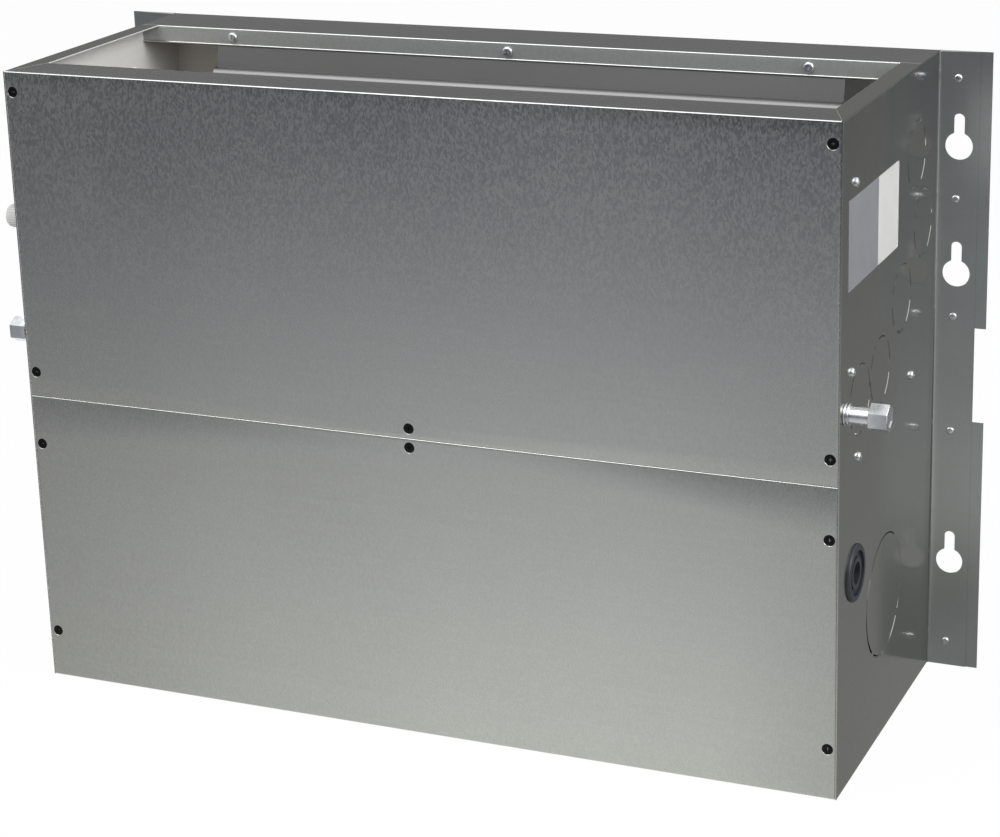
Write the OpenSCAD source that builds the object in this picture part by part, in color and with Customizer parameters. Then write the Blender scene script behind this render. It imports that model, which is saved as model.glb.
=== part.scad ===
// Concealed vertical fan coil unit in bare galvanised sheet.
// Frame: +Z up, the front faces -Y, the origin is the centre of the base.
// Depths are measured from the front face: dy() turns a depth into a Y place.

/* [Casing] */
// Width over the two side panels
body_w = 708; // [660:1:900]
// Height of the casing
body_h = 535; // [520:1:620]
// Depth of the casing, wall face to front face
body_d = 280; // [272:1:340]
// Thickness of the casing sheet
sheet = 1; // [0.8:0.1:1.4]
// Reach of the back panel past each side panel
wall_flange_w = 43; // [40:0.5:60]
// Reach of the flange strip beside each side panel
side_flange_w = 33.5; // [31:0.5:38]
// Depth of the folded flange in front of the air outlet
top_flange_w = 40; // [30:1:60]
// Depth of the rear top flange, from the back to its lip
rear_flange_w = 60; // [50:1:62]
// Height of the lip that hangs from the rear top flange
lip_h = 15; // [10:1:20]
// Width of the side panels' folded top and bottom edges
side_fold_w = 16; // [10:1:20]
// Width of the side panels' folded front edges
front_fold_w = 20; // [16:1:24]
// Depth of the folded flanges in front of and behind the air inlet
bottom_flange_w = 30; // [20:1:40]
// Height of the joint between the two front panels
joint_z = 257; // [250:1:280]
// Gap round the front panels
panel_gap = 0.5; // [0.3:0.1:1]

/* [Wall keyholes] */
// Radius of the round end, which passes over a screw head
key_r = 11.5; // [9:0.5:13]
// Width of the slot, which holds the screw shank
key_slot_w = 9; // [6:0.5:12]
// Height of the slot's end above the round centre
key_rise = 27; // [20:1:34]
// Distance of the keyholes outside the side panel
key_out = 17; // [15:0.5:18]
// Distance of the top keyhole below the casing's top face
key_top = 78; // [65:1:95]
// Distance of the middle keyhole below the casing's top face
key_mid = 185; // [165:1:205]
// Height of the low keyhole
key_low_z = 96; // [60:1:120]
// Lower end of the cut-away in the flange's outer strip
notch_low_z = 222; // [200:1:240]
// Height of the cut-away in the flange's outer strip
notch_h = 82; // [40:1:100]
// Distance of the clinch buttons outside the side panel
clinch_out = 15.5; // [13:0.5:20]
// Distance of the end clinch buttons from the flange's ends
clinch_end = 22; // [15:1:30]
// Spacing of the upper clinch buttons
clinch_pitch = 100; // [90:1:110]
// Clinch buttons in the upper row
clinch_count = 4; // [2:1:4]
// Radius of a clinch button that joins the flange to the back panel
clinch_r = 2.6; // [2:0.1:4]
// Height of a clinch button
clinch_h = 1; // [0.5:0.1:2]

/* [Screws] */
// Shank radius of all casing screws
screw_r = 2; // [1.5:0.1:2.5]
// Head radius of all casing screws
screw_head_r = 4.5; // [4:0.1:6]
// Head height of the round-headed screws
screw_head_h = 2.4; // [1.5:0.1:3]
// Length of a screw under its face
screw_len = 6; // [4.5:0.5:6]
// Clearance round a screw
screw_clear = 0.15; // [0.1:0.05:0.3]
// Distance of the corner screws from the casing's side face
screw_edge = 7.5; // [6.5:0.5:12]
// Distance of the corner screws below the casing's top face
screw_top = 17; // [12:1:30]
// Distance of the upper panel's low screws above the joint
screw_joint_up = 21; // [16:1:30]
// Distance of the lower panel's high screws below the joint
screw_joint_down = 43; // [30:1:60]
// Height of the lower panel's low screws
screw_low_z = 42; // [30:1:60]
// Distance of the two middle screws from the joint
screw_mid = 8; // [6:0.5:10]
// Depth of the corner posts' top screw from the front face
post_screw_d = 35; // [20:1:45]
// Distance of the corner posts' top screw below the post's top
post_screw_drop = 31; // [20:1:60]
// Depth of the corner posts' low screw from the front face
post_low_screw_d = 30; // [26:1:45]
// Height of the lower post screw above the foot of its post
post_low_screw_up = 10; // [5:1:14]
// Depth of the deck's front side screw from the front face
deck_screw_d = 50; // [40:1:90]
// Height of the deck's front side screw above the deck
deck_screw_up = 22; // [8:1:30]
// Depth of the deck's rear side screw from the front face
deck_rear_screw_d = 204; // [190:1:220]
// Distance of the deck's rear side screw below the top of the deck's side flange
deck_rear_screw_drop = 8; // [6:1:16]
// Spacing of the three screws in the rear lip
lip_screw_pitch = 262; // [200:1:270]

/* [Knock-outs] */
// Width of the slits that outline a knock-out
slit_w = 1.6; // [1:0.1:2.5]
// Radius of the fresh-air knock-out
air_ko_r = 50; // [40:1:55]
// Depth of the fresh-air knock-out's centre
air_ko_d = 131; // [125:1:150]
// Height of the fresh-air knock-out's centre
air_ko_z = 121; // [100:1:130]
// Radius of each pipe knock-out
pipe_ko_r = 27; // [24:0.5:28]
// Width of the bridges left between a pipe knock-out's slits
pipe_ko_bridge = 10; // [6:0.5:12]
// Width of the bridges left between the fresh-air knock-out's slits
air_ko_bridge = 6; // [4:0.5:12]

/* [Coil] */
// Length of the fins up the slope
coil_len = 215; // [205:1:222]
// Thickness of the fin pack through both tube rows
coil_t = 44; // [40:1:46]
// Lean of the coil back from upright, in degrees
coil_lean = 47; // [44:1:50]
// Height of the coil's top corner below the casing top
coil_drop = 40; // [36:1:46]
// Distance of the coil's top corner from the wall face
coil_back = 76; // [70:1:80]
// Clear width of the pipe bay at the left
left_bay = 75; // [70:1:90]
// Clear width of the bend bay at the right
right_bay = 60; // [54:1:80]
// Thickness of the coil's end plates
end_plate_t = 1.5; // [1:0.1:2]
// Outer radius of a coil tube
tube_r = 4.8; // [4:0.1:5]
// Spacing of the tubes up the slope
tube_pitch = 25; // [23:0.5:25.5]
// Spacing of the two tube rows
row_pitch = 22; // [20:0.5:24]
// Tubes in each row
tube_count = 8; // [4:2:8]
// Clearance round each tube
tube_clear = 0.1; // [0.05:0.05:0.2]
// Wall of a coil tube
tube_wall = 0.6; // [0.4:0.1:1]
// Thickness of a fin
fin_t = 2; // [1:0.5:3]
// Spacing of the fins
fin_pitch = 18; // [12:0.5:24]
// Radius of the rounded nose along the coil's top edge
nose_r = 7; // [5:0.5:8]

/* [Drain] */
// Depth of the drain spigots' axis from the front face
drain_d = 13; // [12:0.5:15]
// Outer radius of the drain spigots
drain_r = 7; // [6:0.5:7.5]
// Bore radius of the drain spigots
drain_bore_r = 5; // [4:0.5:5.5]
// Reach of the right spigot past the side panel
drain_reach = 30; // [24:1:34]
// Reach of the left spigot past the side panel
drain_reach_left = 14; // [11:1:20]
// Height of the spigots' bore above the pan's floor
drain_lift = 0.5; // [0.5:0.5:1.5]
// Wall of the drain pan
pan_wall = 1.5; // [1:0.1:2]
// Depth of the pan from front to back
pan_depth = 102; // [100:1:106]
// Height of the pan's rim above its floor
pan_rim = 20; // [17:1:21]
// Clearance between the coil's lowest corner and the pan's floor
pan_clear = 11; // [9:0.5:13]
// Width of a hex cap across its flats
cap_af = 19; // [18:0.5:24]
// Length of a hex cap
cap_len = 15; // [12:0.5:20]
// End wall of a hex cap
cap_end = 4; // [3:0.5:6]
// Radial running clearance of everything that turns
run_clear = 0.05; // [0.03:0.01:0.1]

/* [Water connections] */
// Thickness of the square manifold bars
bar_t = 16; // [14:1:18]
// Outer radius of the connection pipes
union_r = 11; // [10:0.5:12]
// Width of the connection hexes across their flats
union_af = 27; // [25:0.5:30]
// Length of the connection hexes
union_hex_len = 14; // [10:1:18]
// Bore radius of the connection's female thread
union_bore_r = 9; // [8:0.5:9.5]
// Reach of the connections past the side panel
union_reach = 20; // [16:1:30]
// Radius of the bleed screw
vent_r = 4; // [3:0.5:5]
// Length of the bleed screw in its bar
vent_len = 12; // [8:1:16]
// Head height of the bleed screw
vent_head = 5; // [4:0.5:8]
// Overhang of the bleed screw's head
vent_rim = 2; // [1:0.5:3]
// Width of the slot in the bleed screw's head
vent_slot_w = 1.2; // [0.8:0.1:2]
// Depth of the slot in the bleed screw's head
vent_slot_depth = 2; // [1:0.5:3]

/* [Fans] */
// Height of the fan shaft below the fan deck
fan_drop = 112; // [106:1:120]
// Depth of the fan shaft from the front face
fan_d = 135; // [128:1:140]
// Distance of each fan from the middle
fan_x = 170; // [165:1:190]
// Width of a fan housing
scroll_w = 160; // [140:1:170]
// Smallest inner radius of the housing's spiral
scroll_r0 = 72; // [70:1:76]
// Largest inner radius of the housing's spiral
scroll_r1 = 99; // [95:1:102]
// Wall of the fan housings
scroll_wall = 2; // [1.5:0.1:3]
// Width of the flange that seats a fan housing on the deck
scroll_rim = 10; // [6:1:12]
// Radius of the fan wheel
wheel_r = 65; // [60:1:67]
// Width of the fan wheel
wheel_w = 146; // [120:1:150]
// Radial length of the blades
blade_len = 11; // [8:0.5:14]
// Blades round the wheel
blade_count = 32; // [20:1:36]
// Thickness of a blade
blade_t = 1.4; // [1:0.1:2]
// Tilt of the blades from the radius, in degrees
blade_tilt = 25; // [15:1:30]
// Thickness of the wheel's rims and middle plate
wheel_rim_t = 3; // [2:0.5:4]
// Radius of the housing's air eye
eye_r = 56; // [50:1:58]
// Radius of the shaft
shaft_r = 6; // [5:0.5:8]
// Radius of the wheel's hub
hub_r = 14; // [12:0.5:18]
// Radial clearance of the hub on the shaft
hub_clear = 0.02; // [0.01:0.01:0.05]
// Length of the shaft past the hubs
shaft_end = 6; // [2:1:12]
// Length of the wheel's hub
hub_len = 28; // [20:1:40]
// Radius of the motor
motor_r = 44; // [40:1:48]
// Length of the motor's can
motor_len = 96; // [80:1:100]
// Radius of the motor's end necks
neck_r = 20; // [18:0.5:24]
// Length of the motor's end necks
neck_len = 14; // [12:1:18]
// Outer radius of the rubber rings
ring_r = 28; // [26:0.5:32]
// Distance of the rubber rings inside the necks' ends
ring_inset = 1; // [0.5:0.5:3]
// Clearance of the rubber rings on the necks and in the hangers
ring_gap = 0.1; // [0.05:0.05:0.2]
// Thickness of the motor hangers
hanger_t = 2; // [1.5:0.1:3]
// Width of the motor hangers
hanger_w = 84; // [76:1:100]

/* [Filter] */
// Height of the filter frame
filter_h = 12; // [10:0.5:16]
// Width of the filter frame's bars
filter_bar = 14; // [10:1:20]
// Thickness of the filter fabric
filter_media_t = 4; // [3:0.5:6]
// Clearance round the filter
filter_clear = 1; // [0.5:0.1:2]
// Width of the guides that hold the filter down
guide_w = 12; // [8:1:16]
// Distance of the guides inside the filter's ends
guide_inset = 8; // [4:1:20]

/* [Electrics] */
// Depth of the cable grommet's axis from the front face
grommet_d = 45; // [44:1:56]
// Height of the cable grommet's axis
grommet_z = 172; // [155:1:180]
// Radius of the grommet's outer flange
grommet_r = 23; // [20:0.5:24]
// Radius of the grommet's neck
grommet_neck_r = 18; // [15:0.5:18.5]
// Radius of the grommet's inner flange
grommet_back_r = 21; // [19.5:0.5:22]
// Bore radius of the grommet
grommet_bore_r = 9; // [6:0.5:12]
// Thickness of the grommet's flanges
grommet_flange = 4; // [3:0.5:5]
// Width of the terminal box, side to side
box_w = 50; // [45:1:60]
// Depth of the terminal box, front to back
box_d = 62; // [58:1:68]
// Height of the terminal box
box_h = 100; // [80:1:110]
// Distance of the terminal box's floor below the grommet's axis
box_below = 40; // [30:1:50]
// Distance of the terminal box's middle in front of the grommet's axis
box_forward = 3; // [2:0.5:4]
// Wall of the terminal box
box_wall = 2; // [1.5:0.1:3]
// Width of the terminal block
strip_w = 16; // [12:1:20]
// Depth of the terminal block
strip_d = 10; // [8:0.5:14]
// Ways in the terminal block
strip_ways = 6; // [3:1:8]
// Radius of a wire entry in the terminal block
strip_hole_r = 2.5; // [1.5:0.5:3]
// Depth of a wire entry in the terminal block
strip_hole_depth = 5; // [3:0.5:7]
// Distance of the left cable gland's axis below the casing's top face
gland_top = 125; // [115:1:135]
// Depth of the left cable gland's axis from the front face
gland_d = 13; // [12:0.5:15]
// Radius of the left cable gland's nut
gland_r = 10; // [9:0.5:10.5]
// Radius of the left cable gland's neck
gland_neck_r = 6; // [5.5:0.5:8]
// Length of the gland's neck past the corner post
gland_tail = 4; // [2:0.5:8]
// Reach of the left cable gland
gland_reach = 13; // [10:0.5:18]
// Bore radius of the left cable gland
gland_bore_r = 4; // [3:0.5:5]

/* [Labels] */
// Height of both labels
label_h = 69; // [50:1:75]
// Distance of the labels' upper edge below the casing's top face
label_top = 63; // [58:1:70]
// Distance of the grey label from the front face
label_d = 17; // [12:1:20]
// Width of the grey label
grey_label_w = 80; // [60:1:85]
// Width of the white label
white_label_w = 58; // [40:1:60]
// Thickness of a label
label_t = 0.4; // [0.2:0.1:0.6]

/* [Stiffening] */
// Height of the deck's rail behind the panel joint
rail_h = 28; // [24:1:32]
// Height of the deck's side flanges
deck_side_h = 48; // [40:1:54]
// Width of the corner posts' side legs
post_w = 52; // [48:1:56]
// Width of the corner posts' front legs
post_front_w = 18; // [14:1:20]
// Clearance between a corner post and the drain pan's rim below it
post_clear = 3; // [0.5:0.5:4]
// Width of the bent feet of the supports and hangers
rib_w = 26; // [20:1:30]
// Distance of the pan supports inside the coil's ends
support_in = 60; // [40:1:90]
// Depth of the pan supports' upright web
support_web = 36; // [24:1:50]
// Distance of the pan supports behind the pan's front
support_front = 16; // [10:1:24]
// Distance of the pan supports ahead of the pan's rear
support_rear = 4; // [2:1:10]
// Thickness of the foam behind the upper front panel
foam_t = 5; // [3:0.5:6]

/* [Hidden] */
$fn = 48;
// Overrun of a cut past the face it leaves
cut = 1;
// Overlap of two shapes that make one piece
lap = 1;
// Clearance between pieces that only lie near each other
kiss = 0.3;
// Overlap of a blade with its rims
blade_sink = 0.5;

function dy(depth) = depth - body_d / 2;

in_x = body_w / 2 - sheet;
panel_x = in_x - panel_gap;
flange_x = body_w / 2 + side_flange_w;
wall_x = body_w / 2 + wall_flange_w;
lip_d = body_d - rear_flange_w;
key_heights = [key_low_z, body_h - key_mid, body_h - key_top];
clinch_heights = concat([clinch_end],
  [for (i = [0 : clinch_count - 1]) body_h - clinch_end - i * clinch_pitch]);

screw_x = body_w / 2 - screw_edge;
upper_screws = [
  [-screw_x, body_h - screw_top], [screw_x, body_h - screw_top],
  [-screw_x, joint_z + screw_joint_up], [screw_x, joint_z + screw_joint_up],
  [0, joint_z + screw_mid]
];
lower_screws = [
  [-screw_x, joint_z - screw_joint_down], [screw_x, joint_z - screw_joint_down],
  [-screw_x, screw_low_z], [screw_x, screw_low_z],
  [0, joint_z - screw_mid]
];
lip_screw_z = body_h - lip_h / 2;

lean_up = [sin(coil_lean), cos(coil_lean)];
lean_out = [cos(coil_lean), -sin(coil_lean)];
coil_corner = [body_d - coil_back, body_h - coil_drop];
coil_mid = coil_corner - lean_up * coil_len / 2 + lean_out * coil_t / 2;
coil_low = coil_corner - lean_up * coil_len + lean_out * coil_t;
coil_left = -body_w / 2 + left_bay;
coil_right = body_w / 2 - right_bay;
nose_at = coil_corner + lean_up * (nose_r + kiss) + lean_out * nose_r;
cap_top_z = body_h - sheet - kiss;
tube_first = -tube_pitch * (tube_count - 1) / 2;
function tube_at(i, row) =
  coil_mid + lean_up * (tube_first + tube_pitch * i) + lean_out * row_pitch * (row - 0.5);

pan_floor = coil_low[1] - pan_clear;
pan_d0 = sheet + foam_t + kiss;
drain_z = pan_floor + drain_bore_r + drain_lift;
pan_end = body_w / 2 - screw_len - kiss;

bend_stub = 5;
bar_gap = 4;
right_end = coil_right + bend_stub;
left_end = coil_left - bend_stub;
bar_x = left_end - norm([tube_pitch, row_pitch]) / 2 - tube_r - bar_gap;
supply_at = tube_at(0, 1);
return_at = tube_at(tube_count - 1, 0);
bar_side = 2 * union_r;

deck_z = joint_z - rail_h / 2;
fan_y = dy(fan_d);
fan_z = deck_z - fan_drop;
throat_a = 60;
throat_y = scroll_r0 * cos(throat_a);
hanger_x = motor_len / 2 + neck_len / 2;
shaft_half = fan_x + hub_len / 2 + shaft_end;

box_x = in_x - box_w;
box_y = dy(grommet_d) - box_d / 2 - box_forward;
box_z = grommet_z - box_below;
gland_z = body_h - gland_top;
label_z = body_h - label_top - label_h;
post_z0 = max(pan_floor + pan_rim, deck_z + deck_side_h) + post_clear;
post_z1 = body_h - screw_top - screw_head_r;
side_screw_at = [
  [post_screw_d, post_z1 - post_screw_drop], [post_low_screw_d, post_z0 + post_low_screw_up],
  [deck_screw_d, deck_z + deck_screw_up],
  [deck_rear_screw_d, deck_z + deck_side_h - deck_rear_screw_drop]
];
filter_x = in_x - filter_clear;
filter_d0 = 2 * sheet + filter_clear;
filter_d1 = body_d - sheet - filter_clear;
guide_z = sheet + filter_h + kiss;
// Steps from the coil's middle to each pipe knock-out's centre, in depth and height
pipe_ko_steps = [[69, 59], [93, -2], [30, -48], [-31, -90], [-88, -95]];
pipe_kos = [for (step = pipe_ko_steps) coil_mid + step];

// A box from one corner to the opposite one
module block(from, to) {
  translate(from) cube(to - from);
}

// A cylinder along X from x0 to x1, at a Y and Z place
module rod(x0, x1, y, z, r) {
  translate([x0, y, z]) rotate([0, 90, 0]) cylinder(r = r, h = x1 - x0);
}

// A hexagonal bar along X
module hex_rod(x0, x1, y, z, af) {
  translate([x0, y, z]) rotate([0, 90, 0]) cylinder(r = af / sqrt(3), h = x1 - x0, $fn = 6);
}

// A flat shape drawn in depth and height, thickened along X
module profile(x0, x1) {
  translate([x0, -body_d / 2, 0]) rotate([90, 0, 90]) linear_extrude(x1 - x0) children();
}

// A countersunk screw whose face lies in the front plane
module flush_screw(x, z, grow = 0) {
  translate([x, -body_d / 2, z]) rotate([-90, 0, 0]) {
    cylinder(r1 = screw_head_r + grow, r2 = screw_r + grow, h = sheet);
    cylinder(r = screw_r + grow, h = screw_len);
  }
}

// One keyhole, cut through both flange sheets
module keyhole(x, z) {
  depth = 2 * sheet + cut;
  translate([x, body_d / 2 - depth, z]) {
    rotate([-90, 0, 0]) cylinder(r = key_r, h = depth + cut);
    translate([-key_slot_w / 2, 0, 0]) cube([key_slot_w, depth + cut, key_rise - key_slot_w / 2]);
    translate([0, 0, key_rise - key_slot_w / 2]) rotate([-90, 0, 0])
      cylinder(r = key_slot_w / 2, h = depth + cut);
  }
}

module keyholes(x) {
  for (z = key_heights) keyhole(x, z);
}

// A slit along part of a circle on the side wall, seen from the right
module slit(at, r, from, span) {
  translate([body_w / 2 - sheet / 2, dy(at[0]), at[1]]) rotate([90, 0, 90]) rotate([0, 0, from])
    rotate_extrude(angle = span) translate([r - slit_w / 2, -sheet]) square([slit_w, 2 * sheet]);
}

// A knock-out outlined by slits, with a bridge of sheet left between them
module knock_out(at, r, bridges, bridge) {
  step = 360 / bridges;
  span = step - 2 * asin(bridge / (2 * r));
  for (i = [0 : bridges - 1]) slit(at, r, i * step - span / 2, span);
}

// A round hole through a side wall
module side_hole(at, r) {
  rod(in_x - cut, body_w / 2 + cut, dy(at[0]), at[1], r);
}

// The folded sheet that both side panels share, drawn for the right side
module side_sheet() {
  rear = body_d / 2 - sheet;
  block([in_x, dy(0), 0], [body_w / 2, rear, body_h]);
  block([in_x - front_fold_w, dy(sheet), sheet], [in_x, dy(2 * sheet), body_h - sheet]);
  translate([0, 0, body_h - sheet]) linear_extrude(sheet) polygon([
    [in_x, dy(sheet)], [in_x, dy(lip_d)],
    [in_x - side_fold_w, dy(lip_d)], [in_x - side_fold_w, dy(top_flange_w)]
  ]);
  block([in_x - side_fold_w, dy(bottom_flange_w), 0], [in_x, dy(body_d - bottom_flange_w), sheet]);
}

// One wall flange, on the right: it meets the side panel's rear edge and is clinched to the back panel
module flange_strip() {
  rear = body_d / 2 - sheet;
  difference() {
    union() {
      block([body_w / 2, rear - sheet, 0], [flange_x, rear, body_h]);
      for (z = clinch_heights) translate([body_w / 2 + clinch_out, rear - sheet, z])
        rotate([90, 0, 0]) cylinder(r = clinch_r, h = clinch_h);
    }
    keyholes(body_w / 2 + key_out);
  }
}

module right_wall_flange() {
  color("#6b6d6a") flange_strip();
}

module left_wall_flange() {
  color("#6b6d6a") mirror([1, 0, 0]) flange_strip();
}

// Openings that both side panels share, drawn for the right side
module side_cuts() {
  side_hole([drain_d, drain_z], drain_r + tube_clear);
  for (at = side_screw_at) side_hole(at, screw_r + screw_clear);
  for (p = concat(upper_screws, lower_screws)) flush_screw(p[0], p[1], screw_clear);
  knock_out([air_ko_d, air_ko_z], air_ko_r, 4, air_ko_bridge);
}

module right_side_panel() {
  color("#6b6d6a") difference() {
    side_sheet();
    side_cuts();
    for (at = pipe_kos) knock_out(at, pipe_ko_r, 6, pipe_ko_bridge);
    side_hole([grommet_d, grommet_z], grommet_neck_r + tube_clear);
  }
}

module left_side_panel() {
  color("#6b6d6a") mirror([1, 0, 0]) difference() {
    side_sheet();
    side_cuts();
    side_hole(supply_at, pipe_ko_r);
    side_hole(return_at, pipe_ko_r);
    side_hole([gland_d, gland_z], gland_neck_r + tube_clear);
  }
}

module back_panel() {
  rear = body_d / 2;
  color("#7d807c") difference() {
    union() {
      block([-wall_x, rear - sheet, 0], [wall_x, rear, body_h]);
      block([-in_x, dy(lip_d), body_h - sheet], [in_x, rear, body_h]);
      block([-in_x, dy(lip_d), body_h - lip_h], [in_x, dy(lip_d) + sheet, body_h]);
      block([-in_x, dy(body_d - bottom_flange_w), 0], [in_x, rear, sheet]);
    }
    for (side = [0, 1]) mirror([side, 0, 0]) {
      keyholes(body_w / 2 + key_out);
      block([flange_x, rear - sheet - cut, notch_low_z], [wall_x + cut, rear + cut, notch_low_z + notch_h]);
    }
    for (i = [-1 : 1]) translate([i * lip_screw_pitch, dy(lip_d) - cut, lip_screw_z])
      rotate([-90, 0, 0]) cylinder(r = screw_r + screw_clear, h = sheet + 2 * cut);
  }
}

module upper_front_panel() {
  color("#5f6672") difference() {
    union() {
      block([-panel_x, dy(0), joint_z + panel_gap / 2], [panel_x, dy(sheet), body_h]);
      translate([0, 0, body_h - sheet]) linear_extrude(sheet) polygon([
        [-panel_x, dy(0)], [panel_x, dy(0)], [panel_x, dy(sheet)],
        [panel_x - side_fold_w, dy(top_flange_w)],
        [side_fold_w - panel_x, dy(top_flange_w)], [-panel_x, dy(sheet)]
      ]);
    }
    for (p = upper_screws) flush_screw(p[0], p[1], screw_clear);
  }
}

module lower_front_panel() {
  color("#8a8f8a") difference() {
    union() {
      block([-panel_x, dy(0), 0], [panel_x, dy(sheet), joint_z - panel_gap / 2]);
      block([-panel_x, dy(0), 0], [panel_x, dy(bottom_flange_w - panel_gap), sheet]);
    }
    for (p = lower_screws) flush_screw(p[0], p[1], screw_clear);
  }
}

module front_panel_screws() {
  color("#1c1c1e") for (p = concat(upper_screws, lower_screws)) flush_screw(p[0], p[1]);
}

// A round-headed screw along its own +Z, head below the origin
module round_screw() {
  cylinder(r = screw_r, h = screw_len);
  translate([0, 0, -screw_head_h]) cylinder(r = screw_head_r, h = screw_head_h);
}

module lip_screws() {
  color("#c9ccd0") for (i = [-1 : 1])
    translate([i * lip_screw_pitch, dy(lip_d), lip_screw_z]) rotate([-90, 0, 0]) round_screw();
}

module side_screws() {
  color("#b9bcbf") for (side = [0, 1]) mirror([side, 0, 0]) for (at = side_screw_at)
    translate([body_w / 2, dy(at[0]), at[1]]) rotate([0, -90, 0]) round_screw();
}

// The part of a fan housing's section that lies inside its wall, grown by a wall
function spiral(grow) = [for (a = [throat_a : 10 : 360])
  let (r = scroll_r0 + (scroll_r1 - scroll_r0) * (a - throat_a) / (360 - throat_a) + grow)
  [fan_d + r * cos(a), fan_z + r * sin(a)]];

module scroll_section(grow, top) {
  polygon(concat(spiral(grow), [[fan_d + scroll_r1 + grow, top], [fan_d + throat_y - grow, top]]));
}

module fan_deck() {
  rail_x = in_x - front_fold_w - kiss;
  color("#8f9290") difference() {
    union() {
      block([-in_x, dy(2 * sheet), deck_z], [in_x, body_d / 2 - sheet, deck_z + sheet]);
      block([-rail_x, dy(sheet), deck_z], [rail_x, dy(2 * sheet), deck_z + rail_h]);
      for (side = [0, 1]) mirror([side, 0, 0])
        block([in_x - sheet, dy(2 * sheet), deck_z], [in_x, body_d / 2 - sheet, deck_z + deck_side_h]);
    }
    for (side = [-1, 1]) block(
      [side * fan_x - scroll_w / 2 + scroll_wall, fan_y + throat_y, deck_z - cut],
      [side * fan_x + scroll_w / 2 - scroll_wall, fan_y + scroll_r1, deck_z + sheet + cut]);
    for (p = concat(upper_screws, lower_screws)) flush_screw(p[0], p[1], screw_clear);
    for (side = [0, 1]) mirror([side, 0, 0]) for (at = side_screw_at)
      rod(in_x - sheet - cut, in_x + cut, dy(at[0]), at[1], screw_r + screw_clear);
    rod(-in_x - cut, in_x + cut, dy(drain_d), drain_z, drain_r + tube_clear);
    for (at = [supply_at, return_at]) rod(-in_x - cut, sheet + cut - in_x, dy(at[0]), at[1], pipe_ko_r);
  }
}

module corner_post() {
  difference() {
    union() {
      block([in_x - sheet, dy(2 * sheet), post_z0], [in_x, dy(2 * sheet + post_w), post_z1]);
      block([in_x - post_front_w, dy(2 * sheet), post_z0], [in_x, dy(3 * sheet), post_z1]);
    }
    for (at = side_screw_at)
      rod(in_x - sheet - cut, in_x + cut, dy(at[0]), at[1], screw_r + screw_clear);
    rod(in_x - sheet - cut, in_x + cut, dy(gland_d), gland_z, gland_neck_r + tube_clear);
  }
}

module right_corner_post() {
  color("#8f9290") corner_post();
}

module left_corner_post() {
  color("#8f9290") mirror([1, 0, 0]) corner_post();
}

module front_foam() {
  half = in_x - front_fold_w - kiss;
  color("#4a4c4e") block(
    [-half, dy(sheet), deck_z + rail_h + kiss], [half, dy(sheet + foam_t), body_h - sheet]);
}

module coil_cap() {
  x0 = coil_left + end_plate_t + kiss;
  x1 = coil_right - end_plate_t - kiss;
  flange_d = lip_d + sheet;
  foot = [flange_d, body_h - lip_h];
  run = foot - nose_at;
  color("#a3a6a4") difference() {
    union() {
      rod(x0, x1, dy(nose_at[0]), nose_at[1], nose_r);
      translate([0, dy(nose_at[0]), nose_at[1]]) rotate([atan2(run[1], run[0]), 0, 0])
        translate([x0, 0, -sheet / 2]) cube([x1 - x0, norm(run) + sheet, sheet]);
      block([x0, dy(flange_d), foot[1] - sheet], [x1, dy(flange_d + sheet), cap_top_z]);
    }
    block([x0 - cut, dy(lip_d), foot[1]], [x1 + cut, dy(flange_d), body_h]);
    for (i = [-1 : 1]) translate([i * lip_screw_pitch, dy(lip_d), lip_screw_z])
      rotate([-90, 0, 0]) cylinder(r = screw_r + screw_clear, h = 3 * sheet);
  }
}

// Tube holes through the fins and both end plates
module tube_holes(x0, x1) {
  for (row = [0, 1]) for (i = [0 : tube_count - 1])
    rod(x0, x1, dy(tube_at(i, row)[0]), tube_at(i, row)[1], tube_r + tube_clear);
}

// An end plate reaches from the fan deck up to the coil's top
module coil_plate(x0) {
  low_front = coil_corner - lean_up * coil_len;
  top_rear = coil_corner + lean_out * coil_t;
  leg_d = pan_d0 + pan_depth + kiss;
  color("#b4b7b5") difference() {
    profile(x0, x0 + end_plate_t) polygon([
      coil_corner, low_front, coil_low, [leg_d, coil_low[1] + (leg_d - coil_low[0]) / tan(coil_lean)],
      [leg_d, deck_z + sheet], [leg_d + rib_w, deck_z + sheet],
      [leg_d + rib_w, coil_low[1] + (leg_d + rib_w - coil_low[0]) / tan(coil_lean)], top_rear
    ]);
    tube_holes(x0 - cut, x0 + end_plate_t + cut);
  }
}

module left_coil_plate() {
  coil_plate(coil_left);
}

module right_coil_plate() {
  coil_plate(coil_right - end_plate_t);
}

// The coil's slanted section with its tube holes, drawn in depth and height
module coil_section() {
  difference() {
    translate(coil_mid) rotate(-coil_lean) square([coil_t, coil_len], center = true);
    for (row = [0, 1]) for (i = [0 : tube_count - 1])
      translate(tube_at(i, row)) circle(r = tube_r + tube_clear);
  }
}

module fin_pack() {
  x0 = coil_left + end_plate_t;
  room = coil_right - end_plate_t - x0 - fin_t;
  gaps = round(room / fin_pitch);
  color("#9fa6ab") for (i = [0 : gaps]) {
    x = x0 + room * i / gaps;
    profile(x, x + fin_t) coil_section();
  }
}

// A half-circle bend between two tube ends, opening towards +X
module bend(from, to) {
  mid = (from + to) / 2;
  run = to - from;
  translate([0, dy(mid[0]), mid[1]]) rotate([atan2(run[1], run[0]), 0, 0]) rotate([0, 0, 90])
    rotate_extrude(angle = 180) translate([norm(run) / 2, 0]) circle(r = tube_r);
}

module coil_tubes() {
  color("#b46a3c") for (row = [0, 1]) for (i = [0 : tube_count - 1]) {
    at = tube_at(i, row);
    feeds = (i + row) % 2 == 1;
    difference() {
      rod(feeds ? bar_x : left_end, right_end, dy(at[0]), at[1], tube_r);
      rod(bar_x - cut, right_end + cut, dy(at[0]), at[1], tube_r - tube_wall);
    }
  }
}

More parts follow.
